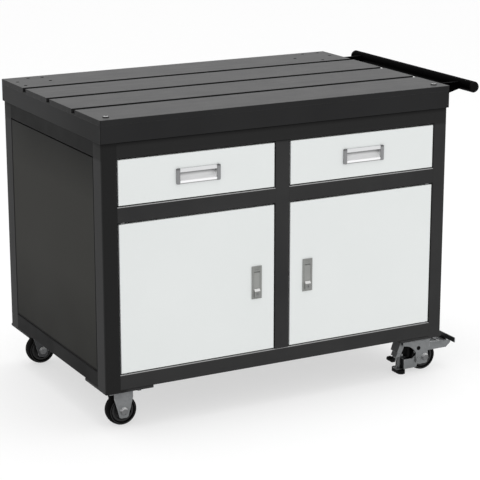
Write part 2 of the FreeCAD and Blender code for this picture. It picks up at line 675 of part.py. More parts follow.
def pull(side, mid_x, mid_z):
    """A recessed pull: a hooded scoop between two end caps."""
    half = s.pull_high / 2
    proud, wall, deep = s.pull_proud, s.pull_wall, s.pull_deep
    hood = half - s.pull_hood
    roof = half - s.pull_flange
    sill = half - s.pull_lip
    points = [
        (-proud, half), (-proud, hood), (wall - proud, hood), (wall - proud, roof - wall),
        (deep - wall, roof - wall),
        (wall - proud, -sill), (-proud, -sill), (-proud, -half), (0, -half), (0, -roof),
        (deep, roof - 2 * wall),
        (deep, roof), (0, roof), (0, half),
    ]
    arcs = {4: -s.pull_scoop, 9: s.pull_scoop}
    section_long = s.pull_wide - 2 * s.pull_cap
    scoop = profile_yz(f"{side}_scoop", points, -section_long / 2, section_long, arcs)
    node(f"{side}_drawer_pull", place(scoop, mid_x, CAB_FRONT, mid_z))
    caps = []
    half_cap = half + s.cap_over
    for name, turn in (("left", -1), ("right", 1)):
        far, near = turn * s.pull_wide / 2, turn * (s.pull_wide / 2 - s.pull_cap)
        points = [(near, -half_cap), (far, -half_cap), (far, half_cap), (near, half_cap)]
        points = points if turn > 0 else points[::-1]
        cap = plate_xz(f"{side}_cap_{name}", points, -s.cap_proud, s.cap_proud)
        round_corners(cap, [(far, -half_cap), (far, half_cap)], "xz", s.cap_round)
        caps.append(place(cap, mid_x, CAB_FRONT, mid_z))
    node(f"{side}_pull_caps", group(f"{side}_cap_pair", caps))


def drawers():
    channels = []
    for side, (x, _) in BAYS.items():
        drawer(side, x)
        for name, wall_x, into in (("outer", x, 1), ("inner", x + BAY_WIDE, -1)):
            channels.append(c_rail(
                f"channel_{side}_{name}", wall_x, into, s.slide_high, s.slide_arm,
                CAB_FRONT + s.slide_lead, SLIDE_LONG))
    node("slide_channels", group("channels", channels))


# Doors

DOOR_LOW = DOOR_Z + s.front_gap
DOOR_HIGH = s.door_open - 2 * s.front_gap
LATCH_Z = DOOR_LOW + s.latch_lift
PIVOT_Y = CAB_FRONT + s.pivot_back


def door_edges(x, hand):
    """The door's outer edge, its inner edge, its pivot and its latch, along X."""
    outer = x + s.front_gap if hand > 0 else x + BAY_WIDE - s.front_gap
    inner = outer + hand * FRONT_WIDE
    return outer, inner, outer + hand * s.pivot_side, inner - hand * s.latch_edge


def ordered(first, second):
    return (first, second) if first.value < second.value else (second, first)


def door(side, x, hand):
    outer, inner, pivot, latch = door_edges(x, hand)
    left_edge = ordered(outer, inner)[0]
    skin = s.sheet_thick
    pan = folded_pan(f"{side}_door", (left_edge, CAB_FRONT, DOOR_LOW), (FRONT_WIDE, s.door_deep, DOOR_HIGH))
    block_x = ordered(outer + hand * skin, outer + hand * (skin + s.block_wide))
    y_low, y_high = CAB_FRONT + skin, CAB_FRONT + s.door_deep - skin
    blocks = []
    bores = []
    for end, z_low, z_edge in (
        ("low", DOOR_LOW + skin, DOOR_LOW), ("high", DOOR_LOW + DOOR_HIGH - skin - s.block_high,
                                             DOOR_LOW + DOOR_HIGH - skin - s.block_high),
    ):
        blocks.append(span(f"{side}_block_{end}", (block_x[0], y_low, z_low),
                           (block_x[1], y_high, z_low + s.block_high)))
        bores.append(rod(f"{side}_bore_{end}", (pivot, PIVOT_Y, z_edge), "z",
                         s.pin_dia / 2 + s.fit_play, s.block_high + skin))
    window_wide = s.latch_wide - 2 * s.latch_rim
    window_high = s.latch_high - 2 * s.latch_rim
    window = box(f"{side}_latch_window", (latch - window_wide / 2, CAB_FRONT, LATCH_Z - window_high / 2),
                 (window_wide, skin, window_high))
    slot_x = ordered(inner, inner - hand * s.lip_wide)
    bolt_y = bolt_front()
    slot = span(
        f"{side}_bolt_slot",
        (slot_x[0], bolt_y - s.bolt_play, LATCH_Z + s.bolt_rise - s.bolt_high / 2 - s.bolt_play),
        (slot_x[1], bolt_y + s.bolt_deep + s.bolt_play,
         LATCH_Z + s.bolt_rise + s.bolt_high / 2 + s.bolt_play))
    welded = fuse(f"{side}_door_welded", pan, *blocks)
    node(f"{side}_door_panel", cut(f"{side}_door_cut", welded, *bores, window, slot))
    door_latch(side, latch, inner, hand)


def bolt_front():
    """Front face of the latch bolt, behind the recess of its case."""
    return CAB_FRONT + s.recess_deep + s.bolt_play


def door_latch(side, x, inner, hand):
    """A flush latch: case, lifting flap, push button with its key barrel, and sliding bolt."""
    half_wide, half_high = s.latch_wide / 2, s.latch_high / 2
    body_wide = s.latch_wide - 2 * s.latch_rim - 2 * s.latch_play
    body_high = s.latch_high - 2 * s.latch_rim - 2 * s.latch_play
    front = CAB_FRONT - s.latch_proud
    bezel = box(f"{side}_bezel", (x - half_wide, front, LATCH_Z - half_high),
                (s.latch_wide, s.latch_proud, s.latch_high))
    case = box(f"{side}_case_body", (x - body_wide / 2, CAB_FRONT, LATCH_Z - body_high / 2),
               (body_wide, s.latch_deep, body_high))
    room = s.recess_wide / 2
    top, low = LATCH_Z + half_high - s.recess_top, LATCH_Z - half_high + s.recess_low
    recess = span(f"{side}_recess", (x - room, front, low), (x + room, CAB_FRONT + s.recess_deep, top))
    button_top = low + s.button_high + s.latch_play
    well = span(f"{side}_button_well", (x - room, front, low),
                (x + room, CAB_FRONT + s.button_room, button_top))
    bolt_y = bolt_front()
    bolt_z = LATCH_Z + s.bolt_rise
    tail = x - hand * (s.bolt_tail - s.bolt_throw)
    tunnel_x = ordered(tail - hand * (s.bolt_throw + s.bolt_play), x + hand * half_wide)
    tunnel = span(
        f"{side}_bolt_tunnel", (tunnel_x[0], bolt_y - s.bolt_play, bolt_z - s.bolt_high / 2 - s.bolt_play),
        (tunnel_x[1], bolt_y + s.bolt_deep + s.bolt_play, bolt_z + s.bolt_high / 2 + s.bolt_play))
    pin_z = top - s.flap_pivot
    pin_y = CAB_FRONT + s.flap_thick / 2
    pin_start = x - body_wide / 2
    pin = rod(f"{side}_flap_pin", (pin_start, pin_y, pin_z), "x", s.flap_pin / 2, body_wide)
    lines = [
        box(f"{side}_bezel_line_{count}", (x - room, front, LATCH_Z + half_high - count * s.bezel_pitch),
            (s.recess_wide, s.bezel_line, s.bezel_line))
        for count in (1, 2)
    ]
    hollow = cut(f"{side}_case_hollow", fuse(f"{side}_case_blank", bezel, case), recess, well, tunnel,
                 *lines)
    node(f"{side}_latch_case", fuse(f"{side}_case", hollow, pin))

    flap_half = room - s.latch_play
    flap_top = top - s.latch_play
    flap_low = button_top + s.latch_play
    flap_front, flap_rear = -s.latch_proud + s.latch_play, s.flap_thick
    knuckle = s.flap_thick / 2 + s.latch_play
    points = [
        (flap_front, flap_low), (flap_front + s.flap_thick, flap_low),
        (flap_front + s.flap_thick, flap_low + s.finger_grip),
        (flap_rear - s.flap_thick / 2, flap_low + 2 * s.finger_grip), (flap_rear, pin_z - knuckle),
        (flap_rear, pin_z), (flap_rear / 2, flap_top), (flap_front, pin_z - s.flap_lead),
    ]
    blade = profile_yz(f"{side}_flap_blade", points, x - flap_half, 2 * flap_half)
    place(blade, 0, CAB_FRONT, 0)
    eye = rod(f"{side}_flap_eye", (x - flap_half, pin_y, pin_z), "x", s.flap_pin / 2 + s.fit_play,
              2 * flap_half)
    node(f"{side}_latch_flap", cut(f"{side}_flap", blade, eye))

    button_low = low + s.latch_play
    slope = s.button_slope
    points = [
        (-s.button_proud, button_low), (s.button_deep, button_low),
        (s.button_deep, button_low + s.button_high - s.latch_play),
        (-s.latch_proud, button_low + s.button_high - s.latch_play),
        (-s.button_proud, button_low + s.button_high - slope),
    ]
    block = place(profile_yz(f"{side}_button_block", points, x - flap_half, 2 * flap_half), 0, CAB_FRONT, 0)
    key_z = button_low + (s.button_high - slope) / 2
    key_y = CAB_FRONT - s.button_proud
    key_radius = s.key_dia / 2
    key_long = s.button_proud + s.button_deep
    key_bore = rod(f"{side}_key_bore", (x, key_y, key_z), "y", key_radius + s.fit_play, key_long)
    node(f"{side}_latch_button", cut(f"{side}_button", block, key_bore))
    barrel = rod(f"{side}_barrel", (x, key_y - s.key_proud, key_z), "y", key_radius, key_long + s.key_proud)
    key_way = box(f"{side}_key_way", (x - s.key_slot / 2, key_y - s.key_proud, key_z - key_radius / 2),
                  (s.key_slot, s.button_proud, key_radius))
    node(f"{side}_key_barrel", cut(f"{side}_key", barrel, key_way))

    bolt_x = ordered(tail, inner + hand * (s.front_gap - s.collar_play))
    node(f"{side}_latch_bolt", span(
        f"{side}_bolt", (bolt_x[0], bolt_y, bolt_z - s.bolt_high / 2),
        (bolt_x[1], bolt_y + s.bolt_deep, bolt_z + s.bolt_high / 2)))


def doors():
    pin, collar = s.pin_dia / 2, s.collar_dia / 2
    step = s.front_gap - s.collar_play
    reach = s.front_gap + s.pin_reach
    pins = []
    for side, (x, hand) in BAYS.items():
        door(side, x, hand)
        pivot = door_edges(x, hand)[2]
        for end, z, up in (("low", DOOR_Z, 1), ("high", MID_RAIL_Z, -1)):
            points = [(0, 0), (collar, 0), (collar, up * step), (pin, up * step), (pin, up * reach),
                      (0, up * reach)]
            post = turned(f"pivot_{side}_{end}", points, "XZ_Plane")
            pins.append(place(post, pivot, PIVOT_Y, z))
    node("hinge_pins", group("pivots", pins))


# Push bar

def push_bar():
    x, z = RIGHT + s.bar_reach, TOP_Z - s.bar_drop
    radius = s.bar_dia / 2
    tube_long = s.bar_long - 2 * s.plug_cap
    start = -tube_long / 2
    outer = rod("bar_outer", (x, start, z), "y", radius, tube_long)
    bore = rod("bar_bore", (x, start, z), "y", radius - s.bar_wall, tube_long)
    node("push_bar", cut("bar_tube", outer, bore))
    brackets = []
    plugs = []
    for end, turn in (("front", -1), ("rear", 1)):
        y_mid = turn * (s.bar_long / 2 - s.bracket_inset)
        points = [(0, -s.bracket_root), (s.bar_reach, -s.bracket_tip), (s.bar_reach, s.bracket_tip),
                  (0, s.bracket_tip)]
        gusset = plate_xz(f"gusset_{end}", points, y_mid - s.bracket_thick / 2, s.bracket_thick)
        place(gusset, RIGHT, 0, z)
        saddle = rod(f"saddle_{end}", (x, y_mid - s.bracket_thick, z), "y", radius + s.fit_play,
                     2 * s.bracket_thick)
        brackets.append(cut(f"bracket_{end}", gusset, saddle))
        spigot = radius - s.bar_wall - s.fit_play
        points = [(0, 0), (spigot, 0), (spigot, turn * s.plug_spigot), (radius, turn * s.plug_spigot),
                  (radius - s.plug_cap / 2, turn * (s.plug_spigot + s.plug_cap)),
                  (0, turn * (s.plug_spigot + s.plug_cap))]
        plug = turned(f"plug_{end}", points, "XY_Plane")
        plugs.append(place(plug, x, turn * (tube_long / 2 - s.plug_spigot), z))
    node("push_bar_brackets", group("brackets", brackets))
    node("push_bar_plugs", group("plugs", plugs))


# Casters

def bolt_places():
    for turn_x in (-1, 1):
        for turn_y in (-1, 1):
            yield turn_x * s.bolt_pitch_x / 2, turn_y * s.bolt_pitch_y / 2


def caster_mounts():
    """Corner plates under the frame and the bolts that hold the casters to them."""
    plates = []
    bolts = []
    for side, x in CASTER_X.items():
        hand = 1 if side == "left" else -1
        for end, y in CASTER_Y.items():
            turn = 1 if end == "front" else -1
            corner_x = CAB_LEFT if hand > 0 else CAB_RIGHT
            corner_y = CAB_FRONT if turn > 0 else CAB_BACK
            width, notch = s.plate_side, s.plate_cut
            points = [(0, 0), (hand * width, 0), (hand * width, turn * (width - notch)),
                      (hand * (width - notch), turn * width), (0, turn * width)]
            body = doc.addObject("PartDesign::Body", f"corner_{side}_{end}")
            sketch = body_sketch(body, f"corner_{side}_{end}_outline", "XY_Plane")
            outline(sketch, points if hand * turn > 0 else points[::-1])
            for dx, dy in bolt_places():
                ring(sketch, (x + dx - corner_x, y + dy - corner_y), s.bolt_dia / 2 + s.hole_play)
            pad(body, sketch, s.plate_thick)
            plates.append(place(body, corner_x, corner_y, s.caster_high))
            for number, (dx, dy) in enumerate(bolt_places()):
                name = f"caster_bolt_{side}_{end}_{number}"
                seat = s.caster_high - s.mount_thick
                head = hexagon(f"{name}_head", (x + dx, y + dy, seat - s.bolt_hex_high), "z",
                               s.bolt_hex, s.bolt_hex_high)
                shank = rod(f"{name}_shank", (x + dx, y + dy, seat), "z", s.bolt_dia / 2, FRAME_Z - seat)
                bolts.append(fuse(name, head, shank))
    node("corner_plates", group("corners", plates))
    node("caster_bolts", group("bolts", bolts))


def mount_plate(name, x, y):
    """The rectangular top plate of a caster."""
    body = doc.addObject("PartDesign::Body", name)
    sketch = body_sketch(body, f"{name}_outline", "XY_Plane")
    half_long, half_deep = s.mount_long / 2, s.mount_deep / 2
    rectangle(sketch, (-half_long, -half_deep), (half_long, half_deep))
    for centre in bolt_places():
        ring(sketch, centre, s.bolt_dia / 2 + s.hole_play)
    pad(body, sketch, s.mount_thick)
    return place(body, x, y, s.caster_high - s.mount_thick)


def axle(name, x, y, wide):
    """A hexagon bolt and nut through a fork of that width."""
    half = wide / 2
    shank = rod(f"{name}_shank", (x, y - half, AXLE_Z), "y", s.axle_dia / 2, wide)
    head = hexagon(f"{name}_head", (x, y - half - s.axle_hex_high, AXLE_Z), "y", s.axle_hex, s.axle_hex_high)
    nut = hexagon(f"{name}_nut", (x, y + half, AXLE_Z), "y", s.axle_hex, s.axle_hex_high)
    return fuse(name, shank, head, nut)


def wheel(name, x, y, gap):
    """A moulded hub, as wide as the fork's gap, and the tyre on it."""
    bore = s.axle_dia / 2 + s.fit_play
    rim = s.hub_dia / 2
    boss = s.hub_boss / 2
    half_boss = gap / 2 - s.side_play
    half_rim = s.tread_wide / 2 - s.shoulder / 2
    half_web = s.hub_web / 2
    inner_rim = rim - s.hub_rim
    points = [
        (bore, -half_boss), (boss, -half_boss), (boss, -half_web), (inner_rim, -half_web),
        (inner_rim, -half_rim),
        (rim, -half_rim), (rim, half_rim), (inner_rim, half_rim), (inner_rim, half_web), (boss, half_web),
        (boss, half_boss), (bore, half_boss),
    ]
    node(f"{name}_hub", place(turned(f"{name}_hub_body", points, "XY_Plane"), x, y, AXLE_Z))
    tread = s.wheel_dia / 2
    half = s.tread_wide / 2
    edge = tread - s.tread_crown
    flat = half - s.shoulder
    bond = rim + s.fit_play
    points = [(bond, -half_rim), (bond + s.shoulder / 2, -half), (edge - s.shoulder, -half), (edge, -flat),
              (edge, flat), (edge - s.shoulder, half), (bond + s.shoulder / 2, half), (bond, half_rim)]
    crown = (flat * flat + s.tread_crown * s.tread_crown) / (2 * s.tread_crown)
    arcs = {2: s.shoulder, 3: crown, 4: s.shoulder}
    node(f"{name}_tyre", place(turned(f"{name}_tyre_body", points, "XY_Plane", arcs), x, y, AXLE_Z))


def fixed_casters():
    x = CASTER_X["left"]
    half = FORK_WIDE / 2
    forks = []
    axles = []
    for end, y in CASTER_Y.items():
        top = s.caster_high - s.mount_thick
        points = [
            (-s.leg_foot / 2, s.leg_foot_z), (s.leg_foot / 2, s.leg_foot_z),
            (s.leg_belly / 2, s.leg_belly_z),
            (s.leg_top / 2, top), (-s.leg_top / 2, top), (-s.leg_belly / 2, s.leg_belly_z),
        ]
        pieces = [mount_plate(f"fixed_mount_{end}", x, y)]
        for name, y_low in (("near", -half), ("far", half - s.fork_wall)):
            leg = plate_xz(f"fixed_leg_{end}_{name}", points, y_low, s.fork_wall,
                           holes=[((0, AXLE_Z), s.axle_dia / 2 + s.fit_play)])
            round_corners(leg, points[:2], "xz", s.leg_foot / 3)
            pieces.append(place(leg, x, y, 0))
        forks.append(fuse(f"fixed_fork_{end}", *pieces))
        axles.append(axle(f"fixed_axle_{end}", x, y, FORK_WIDE))
        wheel(f"{end}_fixed_wheel", x, y, s.fork_gap)
    node("fixed_forks", group("fixed_fork_pair", forks))
    node("fixed_axles", group("fixed_axle_pair", axles))


def swivel_top(end, x, y):
    """Mount plate with its ball race and the king pin that carries the fork."""
    plate_low = s.caster_high - s.mount_thick
    race, king, head = s.race_dia / 2, s.king_dia / 2, s.king_head / 2
    head_top = CROWN_TOP - s.crown_thick - s.race_gap
    points = [(0, head_top - s.king_head_high), (head, head_top - s.king_head_high), (head, head_top),
              (king, head_top),
              (king, plate_low - s.race_high), (race - s.race_high, plate_low - s.race_high),
              (race, plate_low),
              (0, plate_low)]
    core = place(turned(f"king_{end}", points, "XZ_Plane"), x, y, 0)
    return fuse(f"swivel_top_{end}", mount_plate(f"swivel_mount_{end}", x, y), core)


def bend_crown(body):
    """Round the two long top edges of a pressed fork."""
    doc.recompute()
    base = body.Tip
    names = []
    for number, edge in enumerate(base.Shape.Edges, start=1):
        ends = [vertex.Point for vertex in edge.Vertexes]
        level = all(abs(point.z - CROWN_TOP.value) < 1e-6 for point in ends)
        if level and abs(ends[0].y - ends[-1].y) < 1e-6:
            names.append(f"Edge{number}")
    feature = body.newObject("PartDesign::Fillet", f"{body.Name}_bend")
    feature.Base = (base, names)
    bind(feature, "Radius", s.crown_round)


def channel(name, back, flange, wide, thick, x, y):
    """A bent channel: a back plate and two flanges, given by their outlines in X and Z."""
    pieces = [plate_xz(f"{name}_back", back, -wide / 2, wide)]
    for near, y_low in (("near", -wide / 2), ("far", wide / 2 - thick)):
        pieces.append(plate_xz(f"{name}_{near}", flange, y_low, thick))
    return [place(piece, x, y, 0) for piece in pieces]


def swivel_fork(end, x, y):
    """A pressed fork with an arched front, a bent-down channel, brake studs and rivet heads."""
    half = SWIVEL_WIDE / 2
    nose, heel = -s.crown_nose, s.crown_heel
    arch_x, arch_z = s.arch_foot_x, s.arch_foot_z
    points = [
        (arch_x, s.fork_back_z), (s.fork_back_x, s.fork_low_z), (s.fork_low_x, s.fork_low_z),
        (s.fork_waist_x, AXLE_Z), (s.fork_neck_x, s.fork_neck_z), (heel, s.fork_flare_z), (heel, CROWN_TOP),
        (nose, CROWN_TOP), (nose, s.arch_top_z), (arch_x, arch_z),
    ]
    holes = [((s.trail, AXLE_Z), s.axle_dia / 2 + s.fit_play)]
    profile = plate_xz(f"swivel_profile_{end}", points, -half, SWIVEL_WIDE, {8: -s.arch_round}, holes)
    round_corners(profile, points[:3], "xz", s.fork_round)
    bend_crown(profile)
    place(profile, x, y, 0)
    under = CROWN_TOP - s.crown_thick
    gap = span(f"swivel_gap_{end}", (x + nose, y - s.swivel_gap / 2, 0),
               (x + heel, y + s.swivel_gap / 2, under))
    cuts = [gap, rod(f"swivel_king_{end}", (x, y, under), "z", s.king_dia / 2 + s.fit_play, s.crown_thick)]
    studs = []
    stud_long = s.cheek_play + s.cheek_thick
    for near, inside, rivet, sink in (("near", -s.swivel_gap / 2, -half - s.rivet_high, -half),
                                      ("far", s.swivel_gap / 2 - stud_long, half, half - s.pivot_sink)):
        for name, stud_x, stud_z in (("lever", s.lever_x, s.lever_z), ("foot", s.foot_x, s.foot_z)):
            studs.append(rod(f"{name}_stud_{end}_{near}", (x + stud_x, y + inside, stud_z), "y",
                             s.stud_dia / 2, stud_long))
        studs.append(rod(f"foot_rivet_{end}_{near}", (x + s.foot_x, y + rivet, s.foot_z), "y",
                         s.rivet_dia / 2, s.rivet_high))
        cuts.append(rod(f"lever_hole_{end}_{near}", (x + s.lever_x, y + sink, s.lever_z), "y",
                        s.pivot_hole / 2, s.pivot_sink))
    low = s.tongue_low_z
    foot = nose - s.tongue_lean
    back = [(nose, CROWN_TOP), (nose - s.tongue_thick, CROWN_TOP), (foot - s.tongue_thick, low), (foot, low),
            (nose, under)]
    flange = [(foot, low), (foot + s.tongue_flange, low), (nose + s.tongue_flange, under), (nose, under)]
    tongue = channel(f"swivel_tongue_{end}", back, flange, s.tongue_wide, s.tongue_thick, x, y)
    return fuse(f"swivel_fork_{end}", cut(f"swivel_fork_{end}_cut", profile, *cuts), *tongue, *studs)


def cheeks(name, points, rounded, hole, lug, x, y):
    """The two outer side plates of a brake piece, with some corners rounded and one curved lug."""
    edge, half, sag = lug
    rolling = (half * half + sag * sag) / (2 * sag)
    for near, y_low in (("near", -CHEEK_Y - s.cheek_thick), ("far", CHEEK_Y)):
        plate = plate_xz(f"{name}_{near}", points, y_low, s.cheek_thick, {edge: rolling},
                         holes=[(hole, s.stud_dia / 2 + s.fit_play)])
        round_corners(plate, rounded, "xz", s.cheek_round)
        yield place(plate, x, y, 0)


def brake_lever(end, x, y):
    """The pedal: two cheeks, a web between them and an upturned tread plate. Its lug rolls on the foot's."""
    slant = s.arm_tip - s.arm_slant
    lug_z = s.lever_z - s.lever_lug_edge
    heel = s.lever_x - s.lever_heel
    points = [
        (s.lever_x - s.lever_lug, lug_z), (s.lever_x + s.lever_lug, lug_z),
        (s.lever_x + s.lever_heel, s.arm_low), (slant, s.arm_low), (s.arm_tip, s.arm_tip_low),
        (s.arm_tip, s.arm_tip_high), (s.arm_root, s.arm_high), (heel, s.arm_high), (heel, s.arm_low),
    ]
    lug = (0, s.lever_lug, s.lever_lug_sag)
    sides = list(cheeks(f"lever_cheek_{end}", points, points[7:], (s.lever_x, s.lever_z), lug, x, y))
    slope = (s.arm_high - s.arm_tip_high) / (s.arm_tip - s.arm_root)
    web_high = s.arm_high - slope * (s.web_from - s.arm_root)
    web_points = [(s.web_from, web_high - s.web_thick), (s.arm_tip, s.arm_tip_high - s.web_thick),
                  (s.arm_tip, s.arm_tip_high), (s.web_from, web_high)]
    web = place(plate_xz(f"lever_web_{end}", web_points, -CHEEK_Y, 2 * CHEEK_Y), x, y, 0)
    slot = box(f"lever_slot_{end}",
               (x + s.web_from + s.web_slot_wide / 2, y - s.web_slot_wide / 2, s.arm_tip_high - s.web_thick),
               (s.web_slot_long, s.web_slot_wide, s.arm_high - s.arm_tip_high + s.web_thick))
    tread_x = x + s.tread_x - s.web_thick / 2
    stem = span(f"lever_stem_{end}", (tread_x, y - CHEEK_Y, s.arm_tip_high),
                (tread_x + s.web_thick, y + CHEEK_Y, s.tread_plate_low))
    tread = box(f"lever_tread_{end}", (tread_x, y - s.tread_plate_wide / 2, s.tread_plate_low),
                (s.web_thick, s.tread_plate_wide, s.tread_plate_high))
    return fuse(f"lever_{end}", *sides, cut(f"lever_web_{end}_slotted", web, slot), stem, tread)


def brake_foot(end, x, y):
    """The floor brake: cheeks with a lug, cross plate, stem, sole plate, neck, bent shoe and cross pin."""
    sole_low = s.foot_rubber_high
    sole_high = sole_low + s.foot_plate_thick
    stem_x, toe = -s.foot_mid, -s.toe_reach
    near, far = stem_x + s.foot_plate_long / 2, stem_x - s.foot_plate_long / 2
    boss = s.stud_dia
    lug_z = s.foot_z + s.foot_lug_edge
    arm_x, low, high = -s.foot_arm_x, s.foot_arm_low, s.foot_arm_high
    points = [
        (arm_x, low), (s.foot_x - s.foot_lug, low), (s.foot_x + boss, s.foot_z),
        (s.foot_x + s.foot_lug, lug_z), (s.foot_x - s.foot_lug, lug_z),
        (s.arch_foot_x - boss, high), (arm_x, high),
    ]
    lug = (3, s.foot_lug, s.foot_lug_sag)
    sides = list(cheeks(f"foot_cheek_{end}", points, points[1:3], (s.foot_x, s.foot_z), lug, x, y))
    cross = span(f"foot_cross_{end}", (x + arm_x, y - CHEEK_Y, low),
                 (x + arm_x + s.web_thick, y + CHEEK_Y, high))
    sole = span(f"foot_sole_{end}", (x + far, y - s.foot_plate_wide / 2, sole_low),
                (x + near, y + s.foot_plate_wide / 2, sole_high))
    half_neck = s.neck_wide / 2
    shoe_low, shoe_high = toe + s.shoe_play, toe + s.shoe_play + s.shoe_tilt
    shoe_z = s.neck_top - s.neck_drop
    points = [
        (far, sole_high), (stem_x + half_neck, sole_high), (stem_x + half_neck, s.neck_top),
        (shoe_high, s.neck_top), (shoe_low, shoe_z), (toe, s.toe_high), (toe, s.toe_low),
        (stem_x - half_neck, s.toe_low), (stem_x - half_neck, sole_high + boss),
    ]
    neck = plate_xz(f"foot_neck_{end}", points, -s.neck_thick / 2, s.neck_thick)
    thick = s.tongue_thick
    back = [(shoe_high, s.neck_top), (shoe_low, shoe_z), (shoe_low + thick, shoe_z),
            (shoe_high + thick, s.neck_top)]
    reach = thick + s.shoe_flange
    flange = [(shoe_low + thick, shoe_z), (shoe_low + reach, shoe_z), (shoe_high + reach, s.neck_top),
              (shoe_high + thick, s.neck_top)]
    shoe = channel(f"foot_shoe_{end}", back, flange, s.shoe_wide, thick, x, y)
    stem = rod(f"foot_stem_{end}", (x + stem_x, y, sole_high), "z", s.stem_dia / 2, s.pin_z - sole_high)
    pin = rod(f"foot_pin_{end}", (x - s.pin_x, y - s.cross_long / 2, s.pin_z), "y", s.cross_pin / 2,
              s.cross_long)
    return fuse(f"foot_{end}", *sides, cross, sole, place(neck, x, y, 0), *shoe, stem, pin)


def foot_rubbers(end, x, y):
    """The oblong sole and the toe tread, both rubber."""
    body = doc.addObject("PartDesign::Body", f"sole_rubber_{end}")
    sketch = body_sketch(body, f"sole_rubber_{end}_outline", "XY_Plane")
    half_long, half_wide = s.foot_rubber_long / 2, s.foot_rubber_wide / 2
    straight = half_wide - half_long
    outline(sketch, [(-half_long, -straight), (0, -half_wide), (half_long, -straight),
                     (half_long, straight), (0, half_wide), (-half_long, straight)],
            {0: half_long, 1: half_long, 3: half_long, 4: half_long})
    pad(body, sketch, s.foot_rubber_high)
    sole = place(body, x - s.foot_mid, y, 0)
    toe_x = -s.toe_reach
    points = [(toe_x - s.toe_long, s.toe_low), (toe_x, s.toe_low), (toe_x, s.toe_high),
              (toe_x - s.toe_long, s.toe_high)]
    toe = plate_xz(f"toe_tread_{end}", points, -s.toe_wide / 2, s.toe_wide)
    round_corners(toe, [points[0], points[3]], "xz", s.toe_long / 3)
    return group(f"foot_rubber_{end}", [sole, place(toe, x, y, 0)])


def swivel_casters():
    x = CASTER_X["right"]
    tops = []
    for end, y in CASTER_Y.items():
        tops.append(swivel_top(end, x, y))
        node(f"{end}_swivel_fork", swivel_fork(end, x, y))
        node(f"{end}_swivel_axle", axle(f"swivel_axle_{end}", x + s.trail, y, SWIVEL_WIDE))
        wheel(f"{end}_swivel_wheel", x + s.trail, y, s.swivel_gap)
        node(f"{end}_brake_lever", brake_lever(end, x, y))
        node(f"{end}_brake_foot", brake_foot(end, x, y))
        node(f"{end}_brake_rubbers", foot_rubbers(end, x, y))
    node("swivel_plates", group("swivel_tops", tops))


work_top()
top_screws()
frame()
panels()
drawers()
doors()
push_bar()
caster_mounts()
fixed_casters()
swivel_casters()
doc.recompute()

for item in doc.Objects:
    if "Invalid" in item.State or "Error" in item.State:
        raise RuntimeError(f"{item.Name} failed: {item.State}")
for label, item in parts.items():
    if item.Shape.isNull() or not item.Shape.isValid() or not item.Shape.Solids:
        raise RuntimeError(f"{label} has no sound shape")

os.makedirs("parts", exist_ok=True)
for label, item in parts.items():
    item.Shape.exportStep(f"parts/{label}.step")
    print(label, len(item.Shape.Solids), "solids", round(item.Shape.Volume / 1000, 2), "cm3")
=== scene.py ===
import bpy
import math
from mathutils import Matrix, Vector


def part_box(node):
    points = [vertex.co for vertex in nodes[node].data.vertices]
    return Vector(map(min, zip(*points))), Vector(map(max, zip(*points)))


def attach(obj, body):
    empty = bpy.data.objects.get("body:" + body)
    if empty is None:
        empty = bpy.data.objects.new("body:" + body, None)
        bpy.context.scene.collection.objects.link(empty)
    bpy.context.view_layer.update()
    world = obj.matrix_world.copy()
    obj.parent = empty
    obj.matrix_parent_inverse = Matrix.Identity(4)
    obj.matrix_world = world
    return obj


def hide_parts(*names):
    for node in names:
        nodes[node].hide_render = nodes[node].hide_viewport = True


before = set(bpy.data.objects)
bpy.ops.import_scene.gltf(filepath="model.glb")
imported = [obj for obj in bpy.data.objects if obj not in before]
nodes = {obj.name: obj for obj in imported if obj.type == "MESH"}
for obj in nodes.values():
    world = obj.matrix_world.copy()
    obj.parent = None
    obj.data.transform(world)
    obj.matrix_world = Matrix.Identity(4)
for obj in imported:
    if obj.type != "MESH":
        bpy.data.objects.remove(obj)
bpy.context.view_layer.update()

vec, num = "NodeSocketVector", "NodeSocketFloat"
mixPlace = dict(factor=0, first=6, second=7, result=2)  # a colour mix's sockets, by number


# small helpers for node trees
def fillInputs(tree, node, inputs):
    # an input takes a socket to link from, or a plain value
    for key, value in inputs.items():
        if isinstance(value, bpy.types.NodeSocket):
            tree.links.new(value, node.inputs[key])
        else:
            node.inputs[key].default_value = value


def addNode(tree, kind, inputs, **settings):
    made = tree.nodes.new(kind)
    for key, value in settings.items():
        setattr(made, key, value)
    fillInputs(tree, made, inputs)
    return made


def newGroup(name, takes, gives):
    tree = bpy.data.node_groups.new(name, "ShaderNodeTree")
    for label, kind, value in takes:
        socket = tree.interface.new_socket(label, in_out="INPUT", socket_type=kind)
        if value is not None:
            socket.default_value = value
    for label, kind in gives:
        tree.interface.new_socket(label, in_out="OUTPUT", socket_type=kind)
    return tree, addNode(tree, "NodeGroupInput", {}).outputs, addNode(tree, "NodeGroupOutput", {})


def useGroup(tree, group, inputs):
    return addNode(tree, "ShaderNodeGroup", inputs, node_tree=group).outputs


def noise(tree, where, scale, detail, rough):
    inputs = {"Vector": where, "Scale": scale, "Detail": detail, "Roughness": rough}
    return addNode(tree, "ShaderNodeTexNoise", inputs).outputs["Fac"]


def ramp(tree, value, first, last, low=0, high=1):
    inputs = {"Value": value, "From Min": first, "From Max": last, "To Min": low, "To Max": high}
    return addNode(tree, "ShaderNodeMapRange", inputs).outputs["Result"]


def times(tree, first, second):
    return addNode(tree, "ShaderNodeMath", {0: first, 1: second}, operation="MULTIPLY").outputs["Value"]


def dot(tree, first, second):
    made = addNode(tree, "ShaderNodeVectorMath", {0: first, 1: second}, operation="DOT_PRODUCT")
    return made.outputs["Value"]


def upturn(tree):
    # how far a face turns up: 1 where it is level, 0 where it is upright
    facing = addNode(tree, "ShaderNodeNewGeometry", {}).outputs["Normal"]
    return addNode(tree, "ShaderNodeSeparateXYZ", {"Vector": facing}).outputs["Z"]


